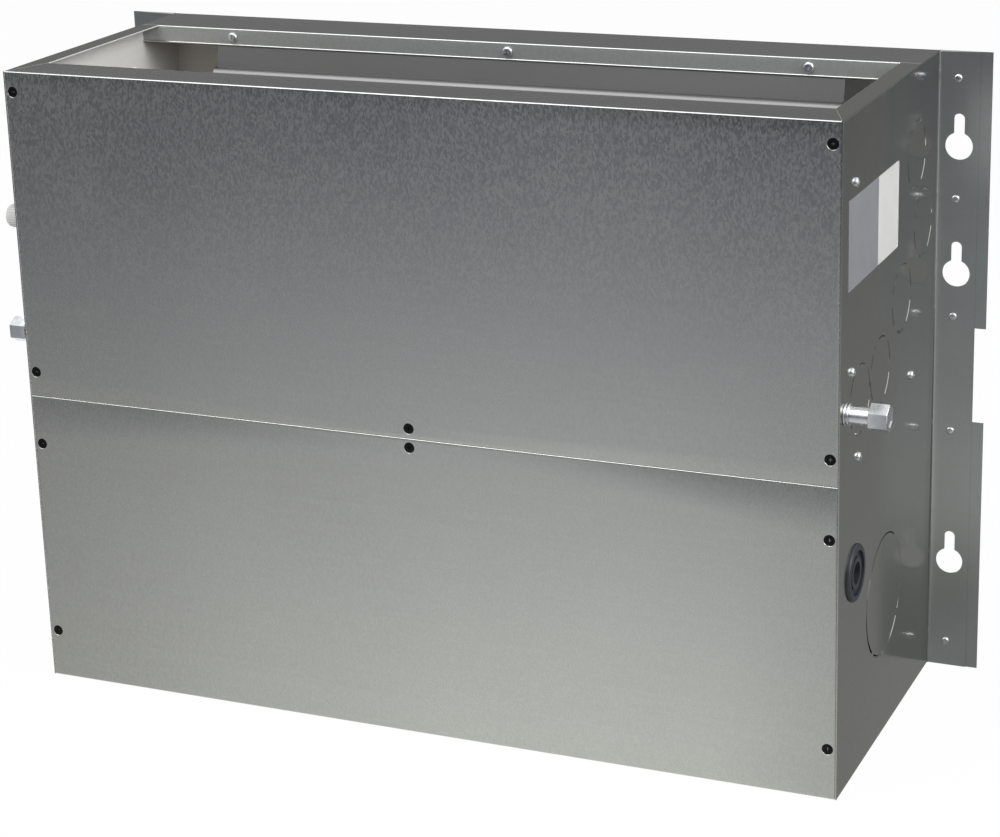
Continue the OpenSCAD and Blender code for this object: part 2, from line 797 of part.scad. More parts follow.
// Right bends join neighbours in a row, left bends cross from row to row
module return_bends() {
  color("#b9713f") {
    for (row = [0, 1]) for (i = [0 : 2 : tube_count - 2])
      translate([right_end, 0, 0]) mirror([1, 0, 0]) bend(tube_at(i, row), tube_at(i + 1, row));
    for (i = [0 : 2 : tube_count - 2])
      translate([left_end, 0, 0]) bend(tube_at(i + 1, 1), tube_at(i, 0));
  }
}

// A square bar across the tube ends, with a female-threaded connection through the side
module manifold(first, last, at, spread) {
  outer = -body_w / 2 - union_reach;
  difference() {
    union() {
      translate([bar_x - bar_t, dy((first[0] + last[0]) / 2), (first[1] + last[1]) / 2])
        rotate([-coil_lean, 0, 0]) translate([0, -spread / 2, -norm(last - first) / 2 - union_r])
          cube([bar_t, spread, norm(last - first) + 2 * union_r]);
      rod(outer, bar_x - bar_t + lap, dy(at[0]), at[1], union_r);
      hex_rod(outer, outer + union_hex_len, dy(at[0]), at[1], union_af);
    }
    rod(outer - cut, bar_x - bar_t, dy(at[0]), at[1], union_bore_r);
    if (at == return_at) bleed_hole();
  }
}

// The bleed screw's own place: the middle of the return bar's top end
module bleed_place() {
  translate([bar_x - bar_t / 2, dy(return_at[0]), return_at[1]]) rotate([-coil_lean, 0, 0])
    translate([0, 0, union_r]) children();
}

module bleed_hole() {
  bleed_place() translate([0, 0, -vent_len - kiss])
    cylinder(r = vent_r + run_clear, h = vent_len + kiss + cut);
}

module supply_manifold() {
  color("#b08d4a") manifold(tube_at(0, 1), tube_at(tube_count - 2, 1), supply_at, bar_side - kiss);
}

module return_manifold() {
  color("#b08d4a") manifold(tube_at(1, 0), tube_at(tube_count - 1, 0), return_at, bar_side - kiss);
}

module bleed_screw() {
  head_r = vent_r + vent_rim;
  color("#c9ab62") bleed_place() difference() {
    union() {
      translate([0, 0, -vent_len]) cylinder(r = vent_r, h = vent_len + kiss);
      translate([0, 0, kiss]) cylinder(r = head_r, h = vent_head);
    }
    translate([-head_r - cut, -vent_slot_w / 2, kiss + vent_head - vent_slot_depth])
      cube([2 * (head_r + cut), vent_slot_w, vent_slot_depth + cut]);
  }
}

module drain_pan() {
  rear = pan_d0 + pan_depth;
  color("#a9acab") difference() {
    union() {
      difference() {
        block([-pan_end, dy(pan_d0), pan_floor - pan_wall], [pan_end, dy(rear), pan_floor + pan_rim]);
        block([pan_wall - pan_end, dy(pan_d0 + pan_wall), pan_floor],
          [pan_end - pan_wall, dy(rear - pan_wall), pan_floor + pan_rim + cut]);
      }
      rod(pan_end - pan_wall, body_w / 2 + drain_reach, dy(drain_d), drain_z, drain_r);
      rod(-body_w / 2 - drain_reach_left, pan_wall - pan_end, dy(drain_d), drain_z, drain_r);
    }
    rod(pan_end - 2 * pan_wall, body_w / 2 + drain_reach + cut, dy(drain_d), drain_z, drain_bore_r);
    rod(-body_w / 2 - drain_reach_left - cut, 2 * pan_wall - pan_end, dy(drain_d), drain_z, drain_bore_r);
  }
}

module pan_supports() {
  low = deck_z + sheet;
  high = pan_floor - pan_wall;
  d0 = pan_d0 + support_front;
  d1 = pan_d0 + pan_depth - support_rear;
  color("#8f9290") for (x = [coil_left + support_in, coil_right - support_in]) {
    block([x, dy((d0 + d1 - support_web) / 2), low], [x + sheet, dy((d0 + d1 + support_web) / 2), high]);
    block([x, dy(d0), low], [x + rib_w, dy(d1), low + sheet]);
    block([x, dy(d0), high - sheet], [x + rib_w, dy(d1), high]);
  }
}

// A hexagonal cap, drawn open end down along its own +Z
module hex_cap() {
  difference() {
    cylinder(r = cap_af / sqrt(3), h = cap_len, $fn = 6);
    translate([0, 0, -cut]) cylinder(r = drain_r + run_clear, h = cap_len - cap_end + cut);
  }
}

module right_drain_cap() {
  x = body_w / 2 + drain_reach - cap_len + cap_end + kiss;
  color("#c6cacd") translate([x, dy(drain_d), drain_z]) rotate([0, 90, 0]) hex_cap();
}

module left_drain_cap() {
  x = -body_w / 2 - drain_reach_left + cap_len - cap_end - kiss;
  color("#c6cacd") translate([x, dy(drain_d), drain_z]) rotate([0, -90, 0]) hex_cap();
}

module fan_housing(x) {
  x0 = x - scroll_w / 2;
  x1 = x + scroll_w / 2;
  color("#54585b") difference() {
    union() {
      profile(x0, x1) scroll_section(scroll_wall, deck_z);
      block([x0 - scroll_rim, fan_y + throat_y - scroll_rim, deck_z - scroll_wall],
        [x1 + scroll_rim, fan_y + scroll_r1 + scroll_rim, deck_z]);
    }
    profile(x0 + scroll_wall, x1 - scroll_wall) scroll_section(0, deck_z + cut);
    rod(x0 - cut, x1 + cut, fan_y, fan_z, eye_r);
  }
}

module left_fan_housing() {
  fan_housing(-fan_x);
}

module right_fan_housing() {
  fan_housing(fan_x);
}

module ring(x0, x1, r_out, r_in) {
  difference() {
    rod(x0, x1, fan_y, fan_z, r_out);
    rod(x0 - cut, x1 + cut, fan_y, fan_z, r_in);
  }
}

// A double-inlet wheel: two rims, a middle plate with its hub, and the blades between
module fan_wheel(x) {
  inner = wheel_r - blade_len;
  color("#8b9094") difference() {
    union() {
      for (side = [-1, 1]) translate([side * (wheel_w - wheel_rim_t) / 2, 0, 0])
        ring(x - wheel_rim_t / 2, x + wheel_rim_t / 2, wheel_r, inner);
      rod(x - wheel_rim_t / 2, x + wheel_rim_t / 2, fan_y, fan_z, wheel_r);
      rod(x - hub_len / 2, x + hub_len / 2, fan_y, fan_z, hub_r);
      for (i = [0 : blade_count - 1]) translate([x - wheel_w / 2 + blade_sink, fan_y, fan_z])
        rotate([i * 360 / blade_count, 0, 0]) translate([0, inner + blade_sink, 0]) rotate([blade_tilt, 0, 0])
          cube([wheel_w - 2 * blade_sink, blade_len - 3 * blade_sink, blade_t]);
    }
    rod(x - wheel_w, x + wheel_w, fan_y, fan_z, shaft_r + hub_clear);
  }
}

module left_fan_wheel() {
  fan_wheel(-fan_x);
}

module right_fan_wheel() {
  fan_wheel(fan_x);
}

module fan_shaft() {
  color("#b9bcbf") rod(-shaft_half, shaft_half, fan_y, fan_z, shaft_r);
}

module fan_motor() {
  color("#3c4043") difference() {
    union() {
      rod(-motor_len / 2, motor_len / 2, fan_y, fan_z, motor_r);
      rod(-motor_len / 2 - neck_len, motor_len / 2 + neck_len, fan_y, fan_z, neck_r);
    }
    rod(-motor_len, motor_len, fan_y, fan_z, shaft_r + run_clear);
  }
}

module motor_rings() {
  half = neck_len / 2 - ring_inset;
  color("#202124") for (side = [-1, 1])
    ring(side * hanger_x - half, side * hanger_x + half, ring_r, neck_r + ring_gap);
}

module motor_hangers() {
  color("#9a9d9b") for (side = [0, 1]) mirror([side, 0, 0]) difference() {
    union() {
      block([hanger_x - hanger_t / 2, fan_y - hanger_w / 2, fan_z - hanger_w / 2],
        [hanger_x + hanger_t / 2, fan_y + hanger_w / 2, deck_z]);
      block([hanger_x - rib_w, fan_y - hanger_w / 2, deck_z - hanger_t],
        [hanger_x, fan_y + hanger_w / 2, deck_z]);
    }
    rod(hanger_x - hanger_t, hanger_x + hanger_t, fan_y, fan_z, ring_r + ring_gap);
  }
}

module filter_frame() {
  color("#2d2f31") difference() {
    block([-filter_x, dy(filter_d0), sheet], [filter_x, dy(filter_d1), sheet + filter_h]);
    block([filter_bar - filter_x, dy(filter_d0 + filter_bar), sheet - cut],
      [filter_x - filter_bar, dy(filter_d1 - filter_bar), sheet + filter_h + cut]);
  }
}

module filter_fabric() {
  z0 = sheet + (filter_h - filter_media_t) / 2;
  color("#4b5563") block([filter_bar - filter_x, dy(filter_d0 + filter_bar), z0],
    [filter_x - filter_bar, dy(filter_d1 - filter_bar), z0 + filter_media_t]);
}

module filter_guides() {
  d0 = filter_d0 + guide_inset;
  d1 = filter_d1 - guide_inset;
  color("#8f9290") for (side = [0, 1]) mirror([side, 0, 0]) {
    block([in_x - guide_w, dy(d0), guide_z], [in_x, dy(d1), guide_z + sheet]);
    block([in_x - sheet, dy(d0), guide_z], [in_x, dy(d1), guide_z + guide_w]);
  }
}

module terminal_box() {
  color("#d7d9d6") difference() {
    block([box_x, box_y, box_z], [in_x, box_y + box_d, box_z + box_h]);
    block([box_x + box_wall, box_y - cut, box_z + box_wall],
      [in_x - box_wall, box_y + box_d - box_wall, box_z + box_h - box_wall]);
    rod(in_x - 2 * box_wall, in_x + cut, dy(grommet_d), grommet_z, grommet_neck_r + tube_clear);
  }
}

module terminal_box_cover() {
  color("#cfd2cf") block([box_x, box_y - box_wall, box_z], [in_x - kiss, box_y, box_z + box_h]);
}

module terminal_block() {
  x0 = box_x + 2 * box_wall;
  z0 = box_z + 2 * box_wall;
  z1 = box_z + box_h - 2 * box_wall;
  rear = box_y + box_d - box_wall;
  way = (z1 - z0) / strip_ways;
  color("#3f6f4f") difference() {
    block([x0, rear - strip_d, z0], [x0 + strip_w, rear, z1]);
    for (i = [0 : strip_ways - 1])
      translate([x0 + strip_w / 2, rear - strip_d - cut, z0 + way * (i + 0.5)]) rotate([-90, 0, 0])
        cylinder(r = strip_hole_r, h = strip_hole_depth + cut);
  }
}

module cable_grommet() {
  inside = in_x - box_wall;
  y = dy(grommet_d);
  color("#141416") difference() {
    union() {
      rod(body_w / 2, body_w / 2 + grommet_flange, y, grommet_z, grommet_r);
      rod(inside - lap, body_w / 2 + lap, y, grommet_z, grommet_neck_r);
      rod(inside - grommet_flange, inside, y, grommet_z, grommet_back_r);
    }
    rod(inside - grommet_flange - cut, body_w / 2 + grommet_flange + cut, y, grommet_z, grommet_bore_r);
  }
}

module cable_gland() {
  y = dy(gland_d);
  tail_x = -in_x + sheet + gland_tail;
  color("#b9bcbc") difference() {
    union() {
      rod(-body_w / 2 - gland_reach, -body_w / 2, y, gland_z, gland_r);
      rod(-body_w / 2 - lap, tail_x, y, gland_z, gland_neck_r);
    }
    rod(-body_w / 2 - gland_reach - cut, tail_x + cut, y, gland_z, gland_bore_r);
  }
}

module grey_label() {
  color("#8d8f98") block([body_w / 2, dy(label_d), label_z],
    [body_w / 2 + label_t, dy(label_d + grey_label_w), label_z + label_h]);
}

module white_label() {
  d0 = label_d + grey_label_w;
  color("#d9d8d2") block([body_w / 2, dy(d0), label_z],
    [body_w / 2 + label_t, dy(d0 + white_label_w), label_z + label_h]);
}

back_panel();
left_side_panel();
right_side_panel();
left_wall_flange();
right_wall_flange();
upper_front_panel();
lower_front_panel();
front_panel_screws();
lip_screws();
side_screws();
fan_deck();
left_corner_post();
right_corner_post();
front_foam();
coil_cap();
left_coil_plate();
right_coil_plate();
fin_pack();
coil_tubes();
return_bends();
supply_manifold();
return_manifold();
bleed_screw();
drain_pan();
pan_supports();
right_drain_cap();
left_drain_cap();
left_fan_housing();
right_fan_housing();
left_fan_wheel();
right_fan_wheel();
fan_shaft();
fan_motor();
motor_rings();
motor_hangers();
filter_frame();
filter_fabric();
filter_guides();
terminal_box();
terminal_box_cover();
terminal_block();
cable_grommet();
cable_gland();
grey_label();
white_label();
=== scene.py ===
"""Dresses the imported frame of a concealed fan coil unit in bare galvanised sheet.

Every piece is modelled in metres, in the frame of the CAD part: +Z up, the front faces -Y.
"""

import logging
import math
from contextlib import contextmanager
from dataclasses import dataclass
from enum import Enum
from typing import Callable, Iterator, Protocol, Sequence

import bmesh
import bpy
from mathutils import Matrix, Vector


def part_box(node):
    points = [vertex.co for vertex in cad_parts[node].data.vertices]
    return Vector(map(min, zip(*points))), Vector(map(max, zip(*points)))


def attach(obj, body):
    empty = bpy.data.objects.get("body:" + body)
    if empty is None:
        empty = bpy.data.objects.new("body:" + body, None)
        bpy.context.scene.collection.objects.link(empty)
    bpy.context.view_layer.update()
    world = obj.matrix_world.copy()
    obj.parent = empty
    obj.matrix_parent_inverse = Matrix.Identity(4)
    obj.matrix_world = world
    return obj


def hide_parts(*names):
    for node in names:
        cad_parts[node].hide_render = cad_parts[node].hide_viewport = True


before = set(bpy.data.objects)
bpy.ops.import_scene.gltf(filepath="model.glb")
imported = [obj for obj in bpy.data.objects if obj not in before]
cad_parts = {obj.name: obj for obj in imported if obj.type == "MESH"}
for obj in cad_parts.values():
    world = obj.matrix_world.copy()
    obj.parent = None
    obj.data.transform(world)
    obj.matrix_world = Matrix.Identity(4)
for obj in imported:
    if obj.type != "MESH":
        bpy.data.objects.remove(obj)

LOG = logging.getLogger("fan_coil")
MM = 0.001
NEAR = 0.05 * MM
ALONG = 0.9
ACROSS = 0.1
FLAT = 0.99
WHITE = (1.0, 1.0, 1.0, 1.0)
EVEN = (1.0, 1.0, 1.0)

Piece = bpy.types.Object
Mesh = bmesh.types.BMesh
Socket = bpy.types.NodeSocket
Pair = tuple[float, float]
Pairs = tuple[Pair, ...]
Colour = tuple[float, float, float]
Spot = tuple[float, float, float]
Test = Callable[[Vector, Vector], bool]


class Body(Enum):
    """The rigid bodies that pieces ride on."""

    CASING = "casing"
    RIGHT_CAP = "right_drain_cap"
    LEFT_CAP = "left_drain_cap"


class Axis(Enum):
    """The direction that a round piece is turned along."""

    X = (0.0, math.pi / 2, 0.0)
    Y = (math.pi / 2, 0.0, 0.0)
    Z = (0.0, 0.0, 0.0)


class Side(Enum):
    """The two hands of the casing."""

    LEFT = -1
    RIGHT = 1


class Kind(Enum):
    """What is selected in edit mode, in the order of the select modes."""

    POINTS = 0
    EDGES = 1
    FACES = 2


# Workbench


def mm(*values: float) -> tuple[float, ...]:
    """Millimetres as metres."""
    return tuple(value * MM for value in values)


def at(value: float, wanted: float) -> bool:
    """Whether a coordinate is at a wanted place."""
    return abs(value - wanted) < NEAR


def along(axis: str, **places: float) -> Test:
    """A test for edges that run along an axis.

    Args:
        axis: The axis's letter.
        **places: The coordinates that the edge's middle has to have.

    Returns:
        The test, for bevel.
    """
    return lambda c, d: abs(getattr(d, axis)) > ALONG and all(
        at(getattr(c, key), place) for key, place in places.items())


def across(axis: str, place: float) -> Test:
    """A test for edges that lie across an axis at one place along it."""
    return lambda c, d: at(getattr(c, axis), place) and abs(getattr(d, axis)) < ACROSS


def deselect() -> None:
    """Leaves object mode with nothing selected."""
    if bpy.context.mode != "OBJECT":
        bpy.ops.object.mode_set(mode="OBJECT")
    bpy.ops.object.select_all(action="DESELECT")


def take(piece: Piece) -> None:
    """Makes a piece the only selected and active one."""
    deselect()
    piece.select_set(True)
    bpy.context.view_layer.objects.active = piece


def settle(name: str) -> Piece:
    """Names the active piece and puts its place into its mesh.

    Args:
        name: The piece's name.

    Returns:
        The piece, at the origin, unturned and unscaled.
    """
    piece = bpy.context.view_layer.objects.active
    piece.name = name
    piece.data.name = name
    bpy.ops.object.transform_apply(location=True, rotation=True, scale=True)
    return piece


def box(name: str, low: Sequence[float], high: Sequence[float]) -> Piece:
    """Starts a piece from a box between two corners."""
    deselect()
    a, b = Vector(low), Vector(high)
    bpy.ops.mesh.primitive_cube_add(size=1.0, location=(a + b) / 2, scale=b - a)
    return settle(name)


def rod(name: str, middle: Spot, radius: float, length: float, axis: Axis, sides: int = 32) -> Piece:
    """Starts a piece from a cylinder.

    Args:
        name: The piece's name.
        middle: The cylinder's centre.
        radius: Its radius.
        length: Its length along the axis.
        axis: The way it points.
        sides: Faces round it.

    Returns:
        The cylinder.
    """
    deselect()
    bpy.ops.mesh.primitive_cylinder_add(
        vertices=sides, radius=radius, depth=length, location=middle, rotation=axis.value)
    return settle(name)


@contextmanager
def editing(piece: Piece) -> Iterator[Mesh]:
    """Opens a piece in edit mode with nothing selected."""
    take(piece)
    bpy.ops.object.mode_set(mode="EDIT")
    bpy.ops.mesh.select_all(action="DESELECT")
    yield bmesh.from_edit_mesh(piece.data)
    bpy.ops.object.mode_set(mode="OBJECT")


def mark(piece: Piece, mesh: Mesh, kind: Kind, chosen: Sequence[object]) -> int:
    """Selects chosen items of a piece.

    Args:
        piece: The piece in edit mode.
        mesh: Its edit mesh.
        kind: What is chosen.
        chosen: The points, edges or faces.

    Returns:
        How many were selected.
    """
    bpy.context.tool_settings.mesh_select_mode = tuple(each is kind for each in Kind)
    for item in chosen:
        item.select = True
    mesh.select_flush_mode()
    bmesh.update_edit_mesh(piece.data)
    return len(chosen)


def pick_points(piece: Piece, mesh: Mesh, test: Callable[[Vector], bool]) -> int:
    """Selects the points whose place passes a test."""
    return mark(piece, mesh, Kind.POINTS, [point for point in mesh.verts if test(point.co)])


def pick_edges(piece: Piece, mesh: Mesh, test: Test) -> int:
    """Selects the edges whose middle and unit direction pass a test."""
    ends = [(edge, *(point.co for point in edge.verts)) for edge in mesh.edges]
    chosen = [edge for edge, a, b in ends if test((a + b) / 2, (b - a).normalized())]
    return mark(piece, mesh, Kind.EDGES, chosen)


def pick_faces(piece: Piece, mesh: Mesh, test: Test) -> int:
    """Selects the faces whose centre and normal pass a test."""
    chosen = [face for face in mesh.faces if test(face.calc_center_median(), face.normal)]
    return mark(piece, mesh, Kind.FACES, chosen)


def pull(step: Sequence[float]) -> None:
    """Extrudes what is selected along a step."""
    bpy.ops.mesh.extrude_region_move(TRANSFORM_OT_translate={"value": Vector(step)})


def pull_inset(width: float, step: Sequence[float]) -> None:
    """Insets the selected face, and extrudes its middle along a step."""
    bpy.ops.mesh.inset(thickness=width)
    pull(step)


def stretch(value: Spot, centre: Spot = (0, 0, 0)) -> None:
    """Scales what is selected about a centre."""
    bpy.ops.transform.resize(value=value, center_override=centre)


def extrude(piece: Piece, test: Test, step: Sequence[float]) -> None:
    """Pulls the faces that pass a test out along a step."""
    with editing(piece) as mesh:
        if not pick_faces(piece, mesh, test):
            raise ValueError(f"{piece.name}: no face to extrude")
        pull(step)


def bevel(piece: Piece, test: Test, width: float, segments: int = 3) -> None:
    """Rounds the edges that pass a test."""
    with editing(piece) as mesh:
        if not pick_edges(piece, mesh, test):
            raise ValueError(f"{piece.name}: no edge to bevel")
        bpy.ops.mesh.bevel(offset=width, segments=segments, profile=0.5, affect="EDGES", clamp_overlap=True)


def bisect(piece: Piece, place: Sequence[float], normal: Sequence[float]) -> None:
    """Splits a piece's faces along a plane, and keeps both sides."""
    with editing(piece):
        bpy.ops.mesh.select_all(action="SELECT")
        bpy.ops.mesh.bisect(plane_co=place, plane_no=normal)


def cut(piece: Piece, tool: Piece) -> None:
    """Takes a closed tool shape out of a piece, and removes the tool."""
    change(piece, tool, "DIFFERENCE")


def weld(piece: Piece, other: Piece) -> None:
    """Adds a closed shape to a piece, and removes the shape."""
    change(piece, other, "UNION")


def change(piece: Piece, other: Piece, way: str) -> None:
    """Applies a boolean modifier, and removes the other shape.

    Args:
        piece: The piece that changes.
        other: The closed shape that is used up.
        way: DIFFERENCE or UNION.
    """
    take(piece)
    modifier = piece.modifiers.new("shape", "BOOLEAN")
    modifier.operation = way
    modifier.solver = "EXACT"
    modifier.object = other
    bpy.ops.object.modifier_apply(modifier=modifier.name)
    bpy.data.objects.remove(other)


def copy_at(piece: Piece, name: str, turn: Matrix) -> Piece:
    """Copies a piece with a mesh of its own, moved by a matrix."""
    deselect()
    twin = piece.copy()
    twin.data = piece.data.copy()
    twin.data.transform(turn)
    bpy.context.scene.collection.objects.link(twin)
    twin.name = name
    return twin


def join(name: str, parts: Sequence[Piece]) -> Piece:
    """Joins pieces into one object under a new name."""
    deselect()
    for part in parts:
        part.select_set(True)
    bpy.context.view_layer.objects.active = parts[0]
    if len(parts) > 1:
        bpy.ops.object.join()
    parts[0].name = name
    parts[0].data.name = name
    return parts[0]


def repeat(piece: Piece, name: str, turns: Sequence[Matrix]) -> Piece:
    """Puts a copy of one modelled piece at each place, as one object.

    Args:
        piece: The piece, modelled once at the origin. It is used up.
        name: The joined object's name.
        turns: The place of each copy.

    Returns:
        The joined object.
    """
    copies = [copy_at(piece, f"{name}_{i}", turn) for i, turn in enumerate(turns)]
    bpy.data.objects.remove(piece)
    return join(name, copies)


def recalculate(piece: Piece) -> None:
    """Merges doubles and turns every face outwards."""
    with editing(piece):
        bpy.ops.mesh.select_all(action="SELECT")
        bpy.ops.mesh.remove_doubles(threshold=NEAR / 10)
        bpy.ops.mesh.normals_make_consistent(inside=False)


def turn_of(axis: Axis, spot: Sequence[float], flip: bool = False) -> Matrix:
    """The matrix that points a piece modelled along +Z along an axis, at a spot.

    Args:
        axis: The way its +Z goes.
        spot: Where its origin goes.
        flip: Whether it points the other way.

    Returns:
        The matrix.
    """
    aim = {Axis.X: Vector((1, 0, 0)), Axis.Y: Vector((0, 1, 0)), Axis.Z: Vector((0, 0, 1))}[axis]
    quat = (-aim if flip else aim).to_track_quat("Z", "Y")
    return Matrix.Translation(Vector(spot)) @ quat.to_matrix().to_4x4()


# Finishes


class Nodes:
    """A short way to write the node tree of a material or the world."""

    def __init__(self, name: str, world: bool = False) -> None:
        """Starts an empty tree with its output node."""
        self.owner = (bpy.data.worlds if world else bpy.data.materials).new(name)
        self.owner.use_nodes = True
        self.tree = self.owner.node_tree
        self.tree.nodes.clear()
        self.output = self.tree.nodes.new("ShaderNodeOutputWorld" if world else "ShaderNodeOutputMaterial")

    def add(self, kind: str, **values: object) -> bpy.types.Node:
        """Adds a node, and sets its properties and sockets.

        Args:
            kind: The node's type.
            **values: A property's name, a socket's name with _ for spaces, or in and a socket's
                number, each with its value or the socket to link.

        Returns:
            The node.
        """
        node = self.tree.nodes.new(kind)
        for key, value in values.items():
            if hasattr(node, key):
                setattr(node, key, value)
                continue
            numbered = key.startswith("in") and key[2:].isdigit()
            socket = node.inputs[int(key[2:])] if numbered else node.inputs[key.replace("_", " ")]
            if isinstance(value, Socket):
                self.tree.links.new(value, socket)
            else:
                socket.default_value = value
        return node

    def place(self, scale: Spot = EVEN) -> Socket:
        """The object's own coordinates, stretched by a scale."""
        spot = self.add("ShaderNodeTexCoord").outputs["Object"]
        return self.add("ShaderNodeMapping", Vector=spot, Scale=scale).outputs["Vector"]

    def apart(self) -> dict[str, Socket]:
        """The object's own X, Y and Z."""
        node = self.add("ShaderNodeSeparateXYZ", Vector=self.place())
        return {axis: node.outputs[axis] for axis in "XYZ"}

    def noise(self, scale: float, detail: float = 2.0, stretched: Spot = EVEN) -> Socket:
        """A noise value between 0 and 1."""
        node = self.add("ShaderNodeTexNoise", Vector=self.place(stretched), Scale=scale, Detail=detail)
        return node.outputs["Fac"]

    def cells(self, scale: float, stretched: Spot) -> Socket:
        """A random value for each crystal cell."""
        node = self.add("ShaderNodeTexVoronoi", Vector=self.place(stretched), Scale=scale)
        return self.add("ShaderNodeSeparateColor", Color=node.outputs["Color"]).outputs["Red"]

    def span(self, value: Socket, start: float, stop: float, low: float = 0.0, high: float = 1.0) -> Socket:
        """Maps the range from start to stop to low and high."""
        return self.add("ShaderNodeMapRange", Value=value, From_Min=start, From_Max=stop, To_Min=low,
                        To_Max=high).outputs["Result"]

    def spread(self, value: Socket, low: float = 0.0, high: float = 1.0) -> Socket:
        """Maps a noise's useful middle range to low and high."""
        return self.span(value, 0.25, 0.75, low, high)

    def sum(self, a: object, b: object, way: str = "ADD") -> Socket:
        """Adds two values, or joins them by another operation."""
        return self.add("ShaderNodeMath", operation=way, in0=a, in1=b).outputs["Value"]

    def mix(self, share: object, a: object, b: object, way: str = "MIX") -> Socket:
        """Mixes two colours by a share."""
        a, b = ((*end, 1.0) if isinstance(end, tuple) else end for end in (a, b))
        node = self.add("ShaderNodeMix", data_type="RGBA", blend_type=way, in0=share, in6=a, in7=b)
        return node.outputs[2]

    def ramp(self, value: Socket, stops: Sequence[tuple[float, Colour]]) -> Socket:
        """Maps a value to colours.

        Args:
            value: The value, from 0 to 1.
            stops: Each stop's place and colour.

        Returns:
            The colour.
        """
        node = self.add("ShaderNodeValToRGB", Fac=value)
        elements = node.color_ramp.elements
        elements.remove(elements[0])
        for i, (place, colour) in enumerate(stops):
            stop = elements[0] if i == 0 else elements.new(place)
            stop.position = place
            stop.color = (*colour, 1.0)
        return node.outputs["Color"]

    def bump(self, height: Socket, strength: float, distance: float) -> Socket:
        """A bumped normal from a height."""
        node = self.add("ShaderNodeBump", Strength=strength, Distance=distance, Height=height)
        return node.outputs["Normal"]

    def seen(self) -> Socket:
        """1 for rays that the camera sees straight, by reflection or through a clear piece, else 0."""
        rays = self.add("ShaderNodeLightPath").outputs
        direct = self.sum(rays["Is Camera Ray"], rays["Is Glossy Ray"], "MAXIMUM")
        return self.sum(direct, rays["Is Transmission Ray"], "MAXIMUM")

    def end(self, shader: bpy.types.Node) -> bpy.types.ID:
        """Links the last shader to the output, and gives the material or world."""
        self.tree.links.new(shader.outputs[0], self.output.inputs[0])
        return self.owner

    def finish(self, **values: object) -> bpy.types.Material:
        """Ends the tree in one Principled surface, with its sockets as add takes them."""
        return self.end(self.add("ShaderNodeBsdfPrincipled", **values))


class Finish(Protocol):
    """A finish, which has a name and builds its own material."""

    name: str

    def material(self) -> bpy.types.Material:
        """Builds the material."""


def dimmed(tone: Colour, share: float) -> Colour:
    """A colour times a share."""
    return tuple(share * part for part in tone)


@dataclass(frozen=True)
class Galvanised:
    """Bare zinc-coated sheet: small crystals, a fine grain and slow clouds in the gloss.

    Below calm_below the crystals show a quarter as much, and calm_rise above it fully.
    """

    name: str
    tone: Colour
    roughness: float = 0.3
    crystal: float = 0.05
    grain: float = 0.25
    cloud: float = 0.12
    metallic: float = 1.0
    calm_below: float = -0.2
    calm_rise: float = 0.17

    def material(self) -> bpy.types.Material:
        """Builds the sheet's material."""
        n = Nodes(self.name)
        crystals = n.cells(850.0, (1.0, 1.0, 0.45))
        grain = n.noise(1100.0)
        clouds = n.noise(5.0, 4.0)
        rolling = n.noise(9.0, 3.0, (1.0, 1.0, 40.0))
        rise = n.span(n.apart()["Z"], self.calm_below, self.calm_below + self.calm_rise, 0.25, 1.0)
        spangle = n.sum(n.spread(crystals, -self.crystal, self.crystal), rise, "MULTIPLY")
        shade = n.sum(spangle, n.spread(clouds, 0.97, 1.03))
        shade = n.sum(shade, n.spread(rolling, 0.985, 1.015), "MULTIPLY")
        colour = n.mix(n.span(shade, 0.5, 1.5), dimmed(self.tone, 0.5), dimmed(self.tone, 1.5))
        gloss = n.spread(clouds, self.roughness * (1 - self.cloud), self.roughness * (1 + self.cloud))
        rough = n.sum(gloss, n.spread(crystals, -self.crystal / 4, self.crystal / 4))
        relief = n.sum(grain, n.sum(crystals, rise, "MULTIPLY"))
        return n.finish(Base_Color=colour, Metallic=self.metallic, Roughness=rough,
                        Normal=n.bump(relief, self.grain, 0.06 * MM))


@dataclass(frozen=True)
class Plated:
    """Bright metal on small turned parts, with faint turning marks."""

    name: str
    tone: Colour
    roughness: float = 0.25

    def material(self) -> bpy.types.Material:
        """Builds the plated metal's material."""
        n = Nodes(self.name)
        stains = n.noise(180.0, 4.0)
        marks = n.noise(60.0, 2.0, (30.0, 4.0, 4.0))
        colour = n.mix(n.spread(stains), dimmed(self.tone, 0.82), self.tone)
        gloss = n.spread(stains, self.roughness - 0.06, self.roughness + 0.1)
        rough = n.sum(gloss, n.spread(marks, -0.03, 0.03))
        return n.finish(Base_Color=colour, Metallic=1.0, Roughness=rough,
                        Normal=n.bump(n.sum(stains, marks), 0.08, 0.1 * MM))


@dataclass(frozen=True)
class Moulded:
    """Moulded plastic or rubber with a fine pebbled skin."""

    name: str
    tone: Colour
    roughness: float = 0.5
    pebble: float = 900.0

    def material(self) -> bpy.types.Material:
        """Builds the moulded skin's material."""
        n = Nodes(self.name)
        skin = n.noise(self.pebble)
        dust = n.noise(40.0, 5.0)
        pale = tuple(min(1.0, 1.15 * part + 0.012) for part in self.tone)
        colour = n.mix(n.spread(dust), self.tone, pale)
        rough = n.spread(dust, self.roughness - 0.06, self.roughness + 0.08)
        return n.finish(Base_Color=colour, Roughness=rough, Normal=n.bump(skin, 0.15, 0.08 * MM))


@dataclass(frozen=True)
class Film:
    """A label's paper or film, bare, with a faint fibre."""

    name: str
    tone: Colour

    def material(self) -> bpy.types.Material:
        """Builds the label's material."""
        n = Nodes(self.name)
        fibre = n.noise(1400.0, 4.0)
        soil = n.noise(60.0, 4.0)
        colour = n.mix(n.spread(soil), dimmed(self.tone, 0.93), self.tone)
        return n.finish(Base_Color=colour, Roughness=n.spread(soil, 0.42, 0.55),
                        Normal=n.bump(fibre, 0.06, 0.03 * MM))


